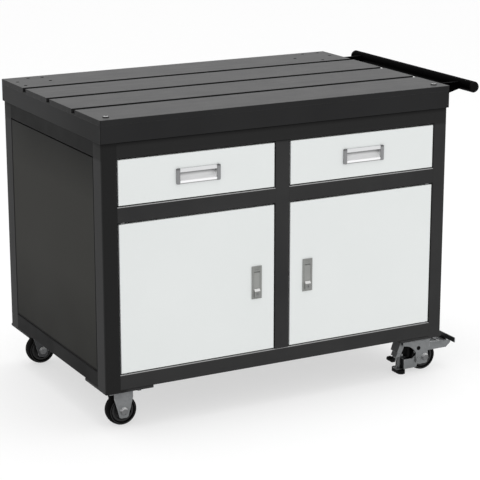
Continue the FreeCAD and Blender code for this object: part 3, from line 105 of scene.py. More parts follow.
def breakUp(tree, mask, amount, where, scale, detail, first, last, low=0):
    # a mask made patchy by noise, then scaled by its amount
    patches = ramp(tree, noise(tree, where, scale, detail, rough=0.6), first, last, low)
    return times(tree, times(tree, mask, patches), amount)


def mixColor(tree, factor, first, second):
    # first and second are sockets or plain colours
    first, second = ((*color, 1) if isinstance(color, tuple) else color for color in (first, second))
    inputs = {mixPlace["factor"]: factor, mixPlace["first"]: first, mixPlace["second"]: second}
    return addNode(tree, "ShaderNodeMix", inputs, data_type="RGBA").outputs[mixPlace["result"]]


# the pebbled skin of a sprayed or moulded surface, and its slow cloudy change
def makeGrain():
    tree, given, end = newGroup("coatGrain", [("Vector", vec, None), ("Scale", num, 500), ("Cloud", num, 6)],
                                [("Height", num), ("Cloudy", num)])
    fine = noise(tree, given["Vector"], given["Scale"], detail=2, rough=0.45)
    slow = noise(tree, given["Vector"], given["Cloud"], detail=3, rough=0.55)
    fillInputs(tree, end, {"Height": fine, "Cloudy": ramp(tree, slow, first=0.3, last=0.7)})
    return tree


# softened corners: a rounded normal, and a mask of the rubbed edge, where the colour is wear and a painted
# edge highlight
def makeEdge():
    tree, given, end = newGroup("edgeRub", [("Vector", vec, None), ("Radius", num, 0.001),
                                            ("Rub", num, 0.5)], [("Normal", vec), ("Mask", num)])
    soft = addNode(tree, "ShaderNodeBevel", {"Radius": given["Radius"]}, samples=6).outputs["Normal"]
    flat = addNode(tree, "ShaderNodeNewGeometry", {}).outputs["Normal"]
    edge = ramp(tree, dot(tree, soft, flat), first=0.995, last=0.86)
    mask = breakUp(tree, edge, given["Rub"], given["Vector"], scale=90, detail=4, first=0.38, last=0.62)
    fillInputs(tree, end, {"Normal": soft, "Mask": mask})
    return tree


# long scratches and rolling marks, stretched by the lengths given
def makeStreaks():
    tree, given, end = newGroup("rollStreaks", [("Vector", vec, None), ("Stretch", vec, (4, 300, 300))],
                                [("Streak", num)])
    pulled = addNode(tree, "ShaderNodeVectorMath", {0: given["Vector"], 1: given["Stretch"]},
                     operation="MULTIPLY").outputs["Vector"]
    lines = noise(tree, pulled, scale=1, detail=5, rough=0.65)
    fillInputs(tree, end, {"Streak": ramp(tree, lines, first=0.3, last=0.7)})
    return tree


# the crystal patches of plated zinc
def makeSpangle():
    tree, given, end = newGroup("zincSpangle", [("Vector", vec, None), ("Scale", num, 160)],
                                [("Patch", num)])
    inputs = {"Vector": given["Vector"], "Scale": given["Scale"], "Randomness": 1}
    cells = addNode(tree, "ShaderNodeTexVoronoi", inputs).outputs["Color"]
    tone = addNode(tree, "ShaderNodeSeparateColor", {"Color": cells}).outputs["Red"]
    fillInputs(tree, end, {"Patch": tone})
    return tree


# a mask that grows along a direction, from one plane to the next
def makeFade():
    tree, given, end = newGroup("planeFade", [("Vector", vec, None), ("Along", vec, (0, 0, 1)),
                                              ("From", num, 0), ("To", num, 1)], [("Mask", num)])
    reach = dot(tree, given["Vector"], given["Along"])
    fillInputs(tree, end, {"Mask": ramp(tree, reach, given["From"], given["To"])})
    return tree


# dust that lies on what faces up
def makeDust():
    tree, given, end = newGroup("settledDust", [("Vector", vec, None), ("Amount", num, 0.1)],
                                [("Mask", num)])
    level = ramp(tree, upturn(tree), first=0.5, last=1)
    mask = breakUp(tree, level, given["Amount"], given["Vector"], scale=14, detail=5, first=0.35, last=0.7)
    fillInputs(tree, end, {"Mask": mask})
    return tree


# a mask of the faces that lean back, where a painted highlight stands for the light from above
def makeLean():
    tree, given, end = newGroup("leaningFace", [("From", num, 0.12), ("To", num, 0.2)], [("Mask", num)])
    fillInputs(tree, end, {"Mask": ramp(tree, upturn(tree), given["From"], given["To"])})
    return tree


# painted shade in the corners and under the overhangs of one piece, broken into grimy patches
def makeShadeGrime():
    tree, given, end = newGroup("cornerShadeGrime", [("Vector", vec, None), ("Reach", num, 0.02),
                                                ("Amount", num, 0.6)], [("Mask", num)])
    near = addNode(tree, "ShaderNodeAmbientOcclusion", {"Distance": given["Reach"]}, samples=8,
                   only_local=True)
    closed = ramp(tree, near.outputs["AO"], first=0.95, last=0.35)
    mask = breakUp(tree, closed, given["Amount"], given["Vector"], scale=60, detail=4, first=0.3, last=0.6,
                   low=0.55)
    fillInputs(tree, end, {"Mask": mask})
    return tree


coatGrain, edgeRub, rollStreaks, cornerShadeGrime = makeGrain(), makeEdge(), makeStreaks(), makeShadeGrime()
zincSpangle, settledDust, planeFade, leaningFace = makeSpangle(), makeDust(), makeFade(), makeLean()
print("shared effects:", len(bpy.data.node_groups))


def fadeBetween(tree, where, fades):
    # the product of fades, each given by its direction, its start and its end
    mask = None
    for along, first, last in fades:
        inputs = {"Vector": where, "Along": along, "From": first, "To": last}
        fade = useGroup(tree, planeFade, inputs)["Mask"]
        mask = fade if mask is None else times(tree, mask, fade)
    return mask


coatLook = dict(dust=(0.36, 0.35, 0.33), depth=0.0004, shine=0.5)  # what all finishes share


def makeFinish(name, look):
    # from the bottom up: cloudy coat, marks, the deck's upper face with a painted sheen, painted shades,
    # painted shade on faces that look left, rubbed edges with wear and a painted highlight, a painted
    # highlight on leaning faces, painted shade in corners in grimy patches, and dust
    made = bpy.data.materials.new(name)
    made.use_nodes = True
    tree = made.node_tree
    coords = addNode(tree, "ShaderNodeTexCoord", {}).outputs
    where = coords["Object"]
    grain = useGroup(tree, coatGrain, {"Vector": where, "Scale": look["grain"], "Cloud": look["cloud"]})
    edge = useGroup(tree, edgeRub, {"Vector": where, "Radius": look["round"], "Rub": look["rub"]})
    change = grain["Cloudy"]
    color = mixColor(tree, change, look["color"], look["tone"])
    if "stretch" in look:
        change = useGroup(tree, rollStreaks, {"Vector": where, "Stretch": look["stretch"]})["Streak"]
    elif "spangle" in look:
        change = useGroup(tree, zincSpangle, {"Vector": where, "Scale": look["spangle"]})["Patch"]
    if "mark" in look:
        color = mixColor(tree, times(tree, change, look["markAmount"]), color, look["mark"])
    # the deck's upper face: a lighter streaked grey, partly its own tone and partly a painted sheen
    if "face" in look:
        streaked = mixColor(tree, change, look["face"], look["faceMark"])
        color = mixColor(tree, fadeBetween(tree, where, look["faceFades"]), color, streaked)
    for shade, fades in look.get("shades", []):
        color = mixColor(tree, fadeBetween(tree, where, fades), color, shade)
    # painted shade on the faces that look left
    if "side" in look:
        color = mixColor(tree, fadeBetween(tree, coords["Normal"], look["sideFades"]), color, look["side"])
    # rubbed edges: wear, and also a painted highlight along the edges
    color = mixColor(tree, edge["Mask"], color, look["edgeWearAndHighlight"])
    # painted highlight on the faces that lean up
    if "lean" in look:
        slope = useGroup(tree, leaningFace, {"From": look["leanFrom"], "To": look["leanTo"]})["Mask"]
        if "leanFades" in look:
            slope = times(tree, slope, fadeBetween(tree, where, look["leanFades"]))
        color = mixColor(tree, slope, color, look["lean"])
    # painted shade in corners, in grimy patches
    if "shadeGrime" in look:
        inputs = {"Vector": where, "Reach": look["shadeGrimeReach"], "Amount": look["shadeGrime"]}
        color = mixColor(tree, useGroup(tree, cornerShadeGrime, inputs)["Mask"], color, look["shadeGrimeColor"])
    if "dust" in look:
        inputs = {"Vector": where, "Amount": look["dust"]}
        color = mixColor(tree, useGroup(tree, settledDust, inputs)["Mask"], color, coatLook["dust"])
    low, high = look["rough"]
    rough = ramp(tree, change, 0, 1, low, high)
    bump = addNode(tree, "ShaderNodeBump", {"Strength": look["bump"], "Distance": coatLook["depth"],
                                            "Height": grain["Height"], "Normal": edge["Normal"]})
    shader = tree.nodes["Principled BSDF"]
    fillInputs(tree, shader, {"Base Color": color, "Roughness": rough, "Normal": bump.outputs["Normal"],
                              "Metallic": look.get("metal", 0),
                              "Specular IOR Level": look.get("shine", coatLook["shine"])})
    if "glow" in look:
        fillInputs(tree, shader, {"Emission Color": (1, 1, 1, 1), "Emission Strength": look["glow"]})
    return made


def grey(value):
    return (value, value, value)


upward, inward, rightward = (0, 0, 1), (0, 1, 0), (1, 0, 0)
downward, outward, leftward = (0, 0, -1), (0, -1, 0), (-1, 0, 0)
# a shade is a darker colour and its fades
# painted shade on the frame: darker under the deck, along the top rails, on the left post's front and on the
# outer sides
underDeckShadow = (grey(0.009), [(upward, 0.724, 0.7365)])
topRailShade = (grey(0.0215), [(upward, 0.69, 0.697)])
leftPostShade = (grey(0.0165), [(leftward, 0.49, 0.5), (outward, 0.317, 0.321)])
leftRailShade = (grey(0.008), [(leftward, 0.551, 0.553)])
rightRailShade = (grey(0.008), [(rightward, 0.439, 0.441)])

# the side panels: painted shade, darker towards the top and bottom, with a black painted shadow line in the
# seam all round
seamShadowSize = dict(top=0.0035, bottom=0.0065, end=0.005, soft=0.0005)
panelLow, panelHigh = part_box("side_panels")
panelPaintedShade = [((0.0165, 0.0165, 0.0155), [(upward, 0.58, 0.70)]),
               ((0.018, 0.0178, 0.016), [(downward, -0.36, -0.15)])]
for along, rim, wide in ((upward, panelHigh[2], seamShadowSize["top"]),
                         (downward, -panelLow[2], seamShadowSize["bottom"]),
                         (inward, panelHigh[1], seamShadowSize["end"]),
                         (outward, -panelLow[1], seamShadowSize["end"])):
    panelPaintedShade.append((grey(0.002), [(along, rim - wide, rim - wide + seamShadowSize["soft"])]))

# the deck: painted shade darkens its ends towards the front, and its upper face has a lighter tone, partly
# its own and partly a painted sheen
deckShade = dict(color=(0.0112, 0.0112, 0.0114), skin=0.0025, soft=0.0005, back=-0.08, front=0.25,
                 left=0.556, right=0.444, under=0.7934, over=0.7936)
deckEndShade = []
for along, reach in ((leftward, deckShade["left"]), (rightward, deckShade["right"])):
    deckEndShade.append((deckShade["color"], [(along, reach - deckShade["skin"], reach - deckShade["soft"]),
                                          (outward, deckShade["back"], deckShade["front"]),
                                          (downward, -deckShade["over"], -deckShade["under"])]))
# painted shade: the rear fixed caster's fork is darker, as it stands in the cabinet's shade
rearForkShade = ((0.05, 0.051, 0.053), [(inward, 0.2, 0.24), (leftward, 0.4, 0.44), (downward, -0.14, -0.13)])

# coats that more than one finish starts from
deckCoat = dict(color=(0.018, 0.018, 0.0185), tone=(0.023, 0.023, 0.0235), grain=700, cloud=3, bump=0.12,
                round=0.0012, shades=deckEndShade)
tubeCoat = dict(color=(0.03, 0.03, 0.0305), tone=grey(0.037), grain=600, cloud=7, bump=0.2,
                rough=(0.42, 0.54), edgeWearAndHighlight=grey(0.07), rub=0.25, round=0.0003, dust=0.04, shine=0.03)
sheetCoat = dict(grain=600, cloud=3, bump=0.2, rough=(0.45, 0.58), edgeWearAndHighlight=grey(0.07), rub=0.25, round=0.0005,
                 dust=0.04, shine=0.03)
castCoat = dict(color=(0.21, 0.215, 0.205), tone=(0.25, 0.255, 0.244), grain=1500, cloud=20, bump=0.2,
                rub=0.4, round=0.0006, edgeWearAndHighlight=grey(0.5))
# in the finishes: the shades and the side colour are painted shade, the corner grime colour is painted shade
# in corners, the lean colour is a painted highlight, and the rubbed edge colour is wear with a painted
# highlight
finishes = {
    "slabPaint": dict(deckCoat, stretch=(3, 90, 90), face=(0.054, 0.054, 0.055),
                      faceMark=(0.074, 0.074, 0.075),
                      faceFades=[(upward, deckShade["under"], deckShade["over"])], rough=(0.36, 0.48),
                      edgeWearAndHighlight=grey(0.09), rub=0.35, dust=0.04, shine=0.045, shadeGrime=0.95, shadeGrimeReach=0.02,
                      shadeGrimeColor=grey(0.002)),
    "apronPaint": dict(deckCoat, rough=(0.4, 0.5), edgeWearAndHighlight=grey(0.06), rub=0.3, shine=0.04),
    "framePaint": dict(tubeCoat, shades=[topRailShade, leftPostShade, underDeckShadow]),
    # the lower rails get a painted highlight along their upper front edges
    "railPaint": dict(tubeCoat, lean=grey(0.42), leanFrom=0.3, leanTo=0.6,
                      leanFades=[(upward, 0.7, 0.69), (inward, -0.315, -0.319)],
                      shades=[topRailShade, leftRailShade, rightRailShade, underDeckShadow]),
    "panelPaint": dict(sheetCoat, color=(0.03, 0.0296, 0.0266), tone=(0.0365, 0.036, 0.033)),
    "sidePaint": dict(sheetCoat, color=(0.0285, 0.0282, 0.0255), tone=(0.035, 0.0346, 0.0316),
                      shades=panelPaintedShade),
    "frontPaint": dict(color=(0.74, 0.765, 0.757), tone=(0.765, 0.787, 0.78), grain=500, cloud=2.5, bump=0.1,
                       rough=(0.34, 0.44), edgeWearAndHighlight=(0.6, 0.61, 0.6), rub=0.3, round=0.001, shine=0.3),
    "trayPaint": dict(color=(0.30, 0.31, 0.31), tone=(0.35, 0.355, 0.355), grain=600, cloud=5, bump=0.15,
                      rough=(0.42, 0.52), edgeWearAndHighlight=(0.45, 0.45, 0.44), rub=0.5, round=0.0008, dust=0.1),
    # the plated steel: a painted highlight on its upturned faces and edges, painted shade in its corners, on
    # faces that look left and on the rear fork
    "zincPlate": dict(color=(0.17, 0.177, 0.18), tone=(0.22, 0.226, 0.23), grain=900, cloud=18, bump=0.1,
                      spangle=170, mark=(0.15, 0.155, 0.16), markAmount=0.3, metal=0.8, rough=(0.3, 0.44),
                      edgeWearAndHighlight=(0.8, 0.81, 0.82), rub=0.9, round=0.0009, dust=0.05, lean=(0.55, 0.56, 0.57),
                      leanFrom=0.3, leanTo=0.7, shadeGrime=0.9, shadeGrimeReach=0.03, shadeGrimeColor=(0.018, 0.018, 0.019),
                      side=(0.03, 0.031, 0.032), sideFades=[(leftward, 0.35, 0.8)], shades=[rearForkShade]),
    # the bolts: a painted highlight on their upturned facets
    "boltSteel": dict(color=(0.12, 0.122, 0.125), tone=(0.17, 0.172, 0.175), grain=900, cloud=60, bump=0.06,
                      metal=0.7, rough=(0.24, 0.34), edgeWearAndHighlight=grey(0.6), rub=0.6, round=0.0006, lean=grey(0.95),
                      leanFrom=0.1, leanTo=0.28),
    "scoopMetal": dict(color=(0.95, 0.952, 0.955), tone=(0.97, 0.972, 0.975), grain=900, cloud=12, bump=0.05,
                       stretch=(6, 900, 900), mark=(0.88, 0.885, 0.89), markAmount=0.25, metal=0.1,
                       rough=(0.34, 0.46), edgeWearAndHighlight=grey(0.97), rub=0.4, round=0.0006,
                       # painted shade in the scoop: a painted shadow under the hood, a darker top lip, and a
                       # painted shadow line along the bottom edge
                       shades=[((0.2, 0.2, 0.205), [(inward, -0.3245, -0.3235), (upward, 0.634, 0.6425)]),
                               ((0.7, 0.705, 0.71), [(inward, -0.324, -0.3245), (upward, 0.645, 0.646)]),
                               ((0.25, 0.25, 0.255), [(upward, 0.6195, 0.6178)])]),
    "capPlastic": dict(color=(0.21, 0.213, 0.218), tone=(0.25, 0.253, 0.258), grain=1400, cloud=20,
                       bump=0.25, rough=(0.42, 0.52), edgeWearAndHighlight=grey(0.34), rub=0.3, round=0.0012,
                       shades=[((0.08, 0.08, 0.083), [(upward, 0.650, 0.6545)])]),
    "latchCast": dict(castCoat, rough=(0.36, 0.46), edgeWearAndHighlight=grey(0.45), round=0.0008),
    "flapCast": dict(castCoat, color=(0.25, 0.255, 0.244), tone=(0.29, 0.295, 0.283), rough=(0.34, 0.44)),
    # the button: a painted highlight on its sloping top
    "buttonCast": dict(castCoat, rough=(0.32, 0.42), lean=(0.72, 0.72, 0.71), leanFrom=0.12, leanTo=0.2),
    "keySteel": dict(color=(0.2, 0.203, 0.2), tone=(0.24, 0.243, 0.24), grain=1500, cloud=60, bump=0.1,
                     metal=0.5, rough=(0.34, 0.44), edgeWearAndHighlight=grey(0.4), rub=0.5, round=0.0005),
    "plugPlastic": dict(color=grey(0.0015), tone=grey(0.003), grain=1300, cloud=20, bump=0.25,
                        rough=(0.5, 0.6), edgeWearAndHighlight=grey(0.012), rub=0.3, round=0.0012, shine=0.05),
    "barPaint": dict(color=grey(0.0008), tone=grey(0.0016), grain=700, cloud=9, bump=0.08,
                     rough=(0.36, 0.46), edgeWearAndHighlight=grey(0.003), rub=0.25, round=0.001, shine=0.004),
    # the dome screws: a painted highlight on the dome's top
    "domeSteel": dict(color=grey(0.012), tone=grey(0.02), grain=900, cloud=60, bump=0.06, metal=0.2,
                      rough=(0.36, 0.46), edgeWearAndHighlight=grey(0.06), rub=0.4, round=0.0006, lean=grey(0.36),
                      leanFrom=0.86, leanTo=0.95, shine=0.1),
    "tyreRubber": dict(color=grey(0.002), tone=grey(0.004), grain=1100, cloud=25, bump=0.3,
                       rough=(0.5, 0.66), edgeWearAndHighlight=(0.02, 0.0195, 0.019), rub=0.5, round=0.0009, dust=0.012,
                       shine=0.02),
    "highlightBeadRubber": dict(color=grey(0.014), tone=grey(0.024), grain=1100, cloud=40, bump=0.2,
                       rough=(0.4, 0.5), edgeWearAndHighlight=grey(0.08), rub=0.4, round=0.0004, shine=0.2),
    "soleRubber": dict(color=grey(0.0025), tone=grey(0.006), grain=900, cloud=30, bump=0.35,
                       rough=(0.46, 0.62), edgeWearAndHighlight=grey(0.03), rub=0.5, round=0.0015, shine=0.06),
    "hubPlastic": dict(color=(0.008, 0.008, 0.0085), tone=(0.014, 0.014, 0.0145), grain=1200, cloud=25,
                       bump=0.2, rough=(0.4, 0.52), edgeWearAndHighlight=grey(0.06), rub=0.4, round=0.001, shine=0.3),
}
materials = {name: makeFinish(name, look) for name, look in finishes.items()}
print("finishes:", len(materials))

# which finish goes on which node; the rest of the cabinet wears the frame's paint
wears = {
    "table_top": "slabPaint", "top_apron": "apronPaint", "top_screws": "domeSteel",
    "frame_rails": "railPaint", "side_panels": "sidePaint", "back_panels": "panelPaint",
    "base_panel": "panelPaint", "centre_partition": "panelPaint", "shelves": "trayPaint",
    "slide_channels": "zincPlate", "hinge_pins": "boltSteel", "push_bar": "barPaint",
    "push_bar_brackets": "barPaint", "push_bar_plugs": "plugPlastic", "caster_bolts": "boltSteel",
    "fixed_forks": "zincPlate", "fixed_axles": "boltSteel", "swivel_plates": "zincPlate",
}
wearsByEnding = {
    "drawer_front": "frontPaint", "door_panel": "frontPaint", "drawer_tray": "trayPaint",
    "drawer_runners": "zincPlate", "drawer_pull": "scoopMetal", "pull_caps": "capPlastic",
    "latch_case": "latchCast", "latch_flap": "flapCast", "latch_button": "buttonCast",
    "key_barrel": "keySteel", "latch_bolt": "boltSteel", "wheel_tyre": "tyreRubber",
    "wheel_hub": "hubPlastic", "swivel_fork": "zincPlate", "swivel_axle": "boltSteel",
    "brake_lever": "zincPlate", "brake_foot": "zincPlate", "brake_rubbers": "soleRubber",
}
for name, item in nodes.items():
    finish = wears.get(name) or next((f for e, f in wearsByEnding.items() if name.endswith(e)), "framePaint")
    item.data.materials.clear()
    item.data.materials.append(materials[finish])
print("nodes dressed:", len(nodes))

smoothAngle = math.radians(32)  # edges sharper than this stay sharp
flatFace, flatTop = 0.9, 0.99  # how squarely a picked face looks its way; flatTop leaves out a bevel
quarterTurn, halfTurn = math.pi / 2, math.pi
hexSides = 6
alongAxle = (quarterTurn, 0, 0)  # lays a cylinder along y


# modelling helpers: one piece at a time, with nothing else selected
def clearSelection():
    if bpy.context.mode != "OBJECT":
        bpy.ops.object.mode_set(mode="OBJECT")
    bpy.ops.object.select_all(action="DESELECT")


def takeUp(piece):
    clearSelection()
    piece.select_set(True)
    bpy.context.view_layer.objects.active = piece


def bakePlace(piece):
    takeUp(piece)
    bpy.ops.object.transform_apply(location=True, rotation=True, scale=True)


def addCylinder(corners, radius, depth, place=(0, 0, 0), turn=(0, 0, 0)):
    clearSelection()
    bpy.ops.mesh.primitive_cylinder_add(vertices=corners, radius=radius, depth=depth, location=place,
                                        rotation=turn)
    piece = bpy.context.object
    bakePlace(piece)
    return piece


def pickFaces(piece, toward, limit=flatFace, bothWays=False):
    # leaves the piece in edit mode with only the faces selected that look along a direction
    bpy.ops.object.mode_set(mode="EDIT")
    bpy.ops.mesh.select_mode(type="FACE")
    bpy.ops.mesh.select_all(action="DESELECT")
    bpy.ops.object.mode_set(mode="OBJECT")
    for face in piece.data.polygons:
        squareness = sum(a * b for a, b in zip(face.normal, toward))
        face.select = (abs(squareness) if bothWays else squareness) > limit
    bpy.ops.object.mode_set(mode="EDIT")


def pickWhole(kind="FACE"):
    bpy.ops.object.mode_set(mode="EDIT")
    bpy.ops.mesh.select_mode(type=kind)
    bpy.ops.mesh.select_all(action="SELECT")


def bevelFaces(piece, toward, offset):
    pickFaces(piece, toward)
    bpy.ops.mesh.bevel(offset=offset, segments=2, affect="EDGES")


def extrude(move):
    bpy.ops.mesh.extrude_region_move(TRANSFORM_OT_translate={"value": move})


def copyPiece(piece, place, turn=0, stretch=1):
    # a copy with its own mesh, turned about the upright and stretched in height
    clearSelection()
    copy = piece.copy()
    copy.data = piece.data.copy()
    bpy.context.collection.objects.link(copy)
    copy.location = place
    copy.rotation_euler = (0, 0, turn)
    copy.scale = (1, 1, stretch)
    bakePlace(copy)
    return copy


def dropPieces(*pieces):
    # patterns and cutters go once they are used
    clearSelection()
    for piece in pieces:
        bpy.data.objects.remove(piece)


def joinPieces(pieces, name):
    clearSelection()
    for piece in pieces:
        piece.select_set(True)
    bpy.context.view_layer.objects.active = pieces[0]
    if len(pieces) > 1:
        bpy.ops.object.join()
    pieces[0].name = name
    return pieces[0]


def dressPiece(piece, finish, body, stands=None):
    takeUp(piece)
    bpy.ops.object.shade_smooth_by_angle(angle=smoothAngle)
    piece.data.materials.clear()
    piece.data.materials.append(materials[finish])
    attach(piece, body)
    if stands:
        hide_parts(stands)


# where the casters stand, and half the width over their forks
casterPlace = dict(fixedX=-0.492, swivelX=0.411, side=0.27, axle=0.04, fixedHalf=0.022, swivelHalf=0.0245)
casterEnds = dict(front=-casterPlace["side"], rear=casterPlace["side"])

# axle bolts: washers, chamfered head and nut, and the bolt's threaded end
axleSize = dict(across=0.017, high=0.006, chamfer=0.0011, twist=12, rim=0.0022, dish=0.0003,
                washerRadius=0.0106, washerThick=0.0014, washerEdge=0.0004, shank=0.0048, shankRim=0.001,
                threadFoot=0.0004, thread=0.0008, waist=0.9, ridges=3, washerSides=48, shankSides=32)


def drawHead(threaded):
    # washer and six-sided block, looking along y from the origin
    thick = axleSize["washerThick"]
    washer = addCylinder(axleSize["washerSides"], axleSize["washerRadius"], thick, (0, thick / 2, 0),
                         alongAxle)
    bevelFaces(washer, inward, axleSize["washerEdge"])
    high = axleSize["high"] - thick
    block = addCylinder(hexSides, axleSize["across"] / math.sqrt(3), high, (0, thick + high / 2, 0),
                        (quarterTurn, math.radians(axleSize["twist"]), 0))
    bevelFaces(block, inward, axleSize["chamfer"])
    pickFaces(block, inward, flatTop)
    bpy.ops.mesh.inset(thickness=axleSize["rim"], depth=-axleSize["dish"])
    if threaded:
        # the thread stands out of the nut in small steps
        extrude((0, axleSize["threadFoot"], 0))
        for scale in (axleSize["waist"], 1 / axleSize["waist"]) * axleSize["ridges"]:
            extrude((0, axleSize["thread"] / 2, 0))
            bpy.ops.transform.resize(value=(scale, 1, scale))
    return joinPieces([washer, block], "axleNut" if threaded else "axleHead")


def drawShank(reach):
    shank = addCylinder(axleSize["shankSides"], axleSize["shank"], 2 * reach, turn=alongAxle)
    pickFaces(shank, inward, bothWays=True)
    bpy.ops.mesh.inset(thickness=axleSize["shankRim"], depth=0)
    return shank


def placeAxle(shank, x, y, reach):
    high = casterPlace["axle"]
    return [copyPiece(shank, (x, y, high)), copyPiece(axleHead, (x, y - reach, high), halfTurn),
            copyPiece(axleNut, (x, y + reach, high))]


axleHead, axleNut = drawHead(False), drawHead(True)
fixedShank, swivelShank = drawShank(casterPlace["fixedHalf"]), drawShank(casterPlace["swivelHalf"])
bolts = []
for y in casterEnds.values():
    bolts += placeAxle(fixedShank, casterPlace["fixedX"], y, casterPlace["fixedHalf"])
dressPiece(joinPieces(bolts, "fixedAxleBolts"), "boltSteel", "cabinet", "fixed_axles")
for end, y in casterEnds.items():
    bolts = placeAxle(swivelShank, casterPlace["swivelX"], y, casterPlace["swivelHalf"])
    dressPiece(joinPieces(bolts, f"{end}SwivelBolt"), "boltSteel", f"{end}_swivel",
               f"{end}_swivel_axle")
dropPieces(axleHead, axleNut, fixedShank, swivelShank)
print("axle bolts: 3 pieces")

# moulded rings on the tyre walls, in a lighter rubber that paints a highlight along the tyre's sides
ringSize = dict(radius=0.0338, thick=0.0009, flat=0.55, wall=0.016, sides=72, sectionSides=10)
clearSelection()
bpy.ops.mesh.primitive_torus_add(major_segments=ringSize["sides"], minor_segments=ringSize["sectionSides"],
                                 major_radius=ringSize["radius"], minor_radius=ringSize["thick"],
                                 rotation=alongAxle)
ring = bpy.context.object
bakePlace(ring)
pickWhole()
bpy.ops.transform.resize(value=(1, ringSize["flat"], 1), center_override=(0, 0, 0))
for kind in ("fixed", "swivel"):
    for end, y in casterEnds.items():
        rings = [copyPiece(ring, (casterPlace[f"{kind}X"], y + wall, casterPlace["axle"]))
                 for wall in (-ringSize["wall"], ringSize["wall"])]
        pair = joinPieces(rings, f"{end}{kind.title()}Rings")
        dressPiece(pair, "highlightBeadRubber", f"{end}_{kind}_wheel")
dropPieces(ring)
print("tyre rings: 4 pieces")

# black bushes in the pedal pivots of the swivel forks, dark pieces that stand in for the shade in the pivot
# holes
shadeBushSize = dict(x=0.39, high=0.068, radius=0.0058, rise=0.0009, edge=0.0004, bore=0.0022, sink=0.0007,
                sides=40)
shadeBush = addCylinder(shadeBushSize["sides"], shadeBushSize["radius"], shadeBushSize["rise"], (0, shadeBushSize["rise"] / 2, 0),
                   alongAxle)
bevelFaces(shadeBush, inward, shadeBushSize["edge"])
pickFaces(shadeBush, inward, flatTop)
bpy.ops.mesh.inset(thickness=shadeBushSize["radius"] - shadeBushSize["bore"] - shadeBushSize["edge"])
extrude((0, -shadeBushSize["sink"], 0))
for end, y in casterEnds.items():
    shadeBushes = [copyPiece(shadeBush, (shadeBushSize["x"], y - casterPlace["swivelHalf"], shadeBushSize["high"]), halfTurn),
              copyPiece(shadeBush, (shadeBushSize["x"], y + casterPlace["swivelHalf"], shadeBushSize["high"]))]
    dressPiece(joinPieces(shadeBushes, f"{end}PivotShadeBushes"), "plugPlastic", f"{end}_swivel")
dropPieces(shadeBush)
print("pivot bushes: 2 pieces")

# hollow black guards, closed at the top, that hang from the swivel forks' crowns in front of the tyres: dark
# sheets that stand in for the shade inside the fork arches
shadeGuardSize = dict(wide=0.035, thick=0.0014, root=0.3535, face=0.3645, crown=0.0872, low=0.0505, bend=0.004,
                 lip=0.006, lipTurn=55, steps=5)


def drawShadeGuard():
    root, face, crown = shadeGuardSize["root"], shadeGuardSize["face"], shadeGuardSize["crown"]
    low, bend, lip = shadeGuardSize["low"], shadeGuardSize["bend"], shadeGuardSize["lip"]
    start = face - bend
    clearSelection()
    bpy.ops.mesh.primitive_plane_add(size=1, location=((root + start) / 2, 0, crown))
    shadeGuard = bpy.context.object
    shadeGuard.scale = (start - root, shadeGuardSize["wide"], 1)
    bakePlace(shadeGuard)
    pickWhole("EDGE")
    # all four edges go down a quarter bend, the straight drop, then a lip that turns away from the tyre
    shares = [step / shadeGuardSize["steps"] for step in range(shadeGuardSize["steps"] + 1)]
    bends = [quarterTurn * share for share in shares]
    lips = [math.radians(shadeGuardSize["lipTurn"]) * share for share in shares]
    path = [(start + bend * math.sin(turn), crown - bend * (1 - math.cos(turn))) for turn in bends]
    path += [(face - lip * (1 - math.cos(turn)), low - lip * math.sin(turn)) for turn in lips]
    for (x0, z0), (x1, z1) in zip(path, path[1:]):
        bpy.ops.mesh.extrude_edges_move(TRANSFORM_OT_translate={"value": (x1 - x0, 0, z1 - z0)})
    bpy.ops.object.mode_set(mode="OBJECT")
    wall = shadeGuard.modifiers.new("wall", "SOLIDIFY")
    wall.thickness, wall.offset = shadeGuardSize["thick"], 0
    bpy.ops.object.modifier_apply(modifier="wall")
    return shadeGuard


shadeGuard = drawShadeGuard()
for end, y in casterEnds.items():
    hung = joinPieces([copyPiece(shadeGuard, (0, y, 0))], f"{end}TyreShadeGuard")
    dressPiece(hung, "plugPlastic", f"{end}_swivel")
dropPieces(shadeGuard)
print("tyre guards: 2 pieces")

# pressed plates that close the ends of the drawer pulls' scoops
endSize = dict(arc=0.025, middle=(-0.3357, 0.6463), mouth=-0.3236, roof=0.6497, thick=0.0009, rim=0.0014,
               dish=0.0003, sides=96)


def drawPlate(toward):
    # a disc cut off at the pull's mouth and roof, dished on the side that looks into the scoop
    plate = addCylinder(endSize["sides"], endSize["arc"], endSize["thick"], (0, *endSize["middle"]),
                        (0, quarterTurn, 0))
    pickWhole()
    bpy.ops.mesh.bisect(plane_co=(0, endSize["mouth"], 0), plane_no=inward, use_fill=True, clear_inner=True)
    pickWhole()
    bpy.ops.mesh.bisect(plane_co=(0, 0, endSize["roof"]), plane_no=upward, use_fill=True, clear_outer=True)
    pickFaces(plate, toward)
    bpy.ops.mesh.inset(thickness=endSize["rim"], depth=-endSize["dish"])
    return plate


leftPlate, rightPlate = drawPlate(rightward), drawPlate(leftward)
for side in ("left", "right"):
    low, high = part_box(f"{side}_drawer_pull")
    plates = [copyPiece(leftPlate, (low[0] + endSize["thick"] / 2, 0, 0)),
              copyPiece(rightPlate, (high[0] - endSize["thick"] / 2, 0, 0))]
    dressPiece(joinPieces(plates, f"{side}PullEnds"), "scoopMetal", f"{side}_drawer")
dropPieces(leftPlate, rightPlate)
print("pull ends: 2 pieces")

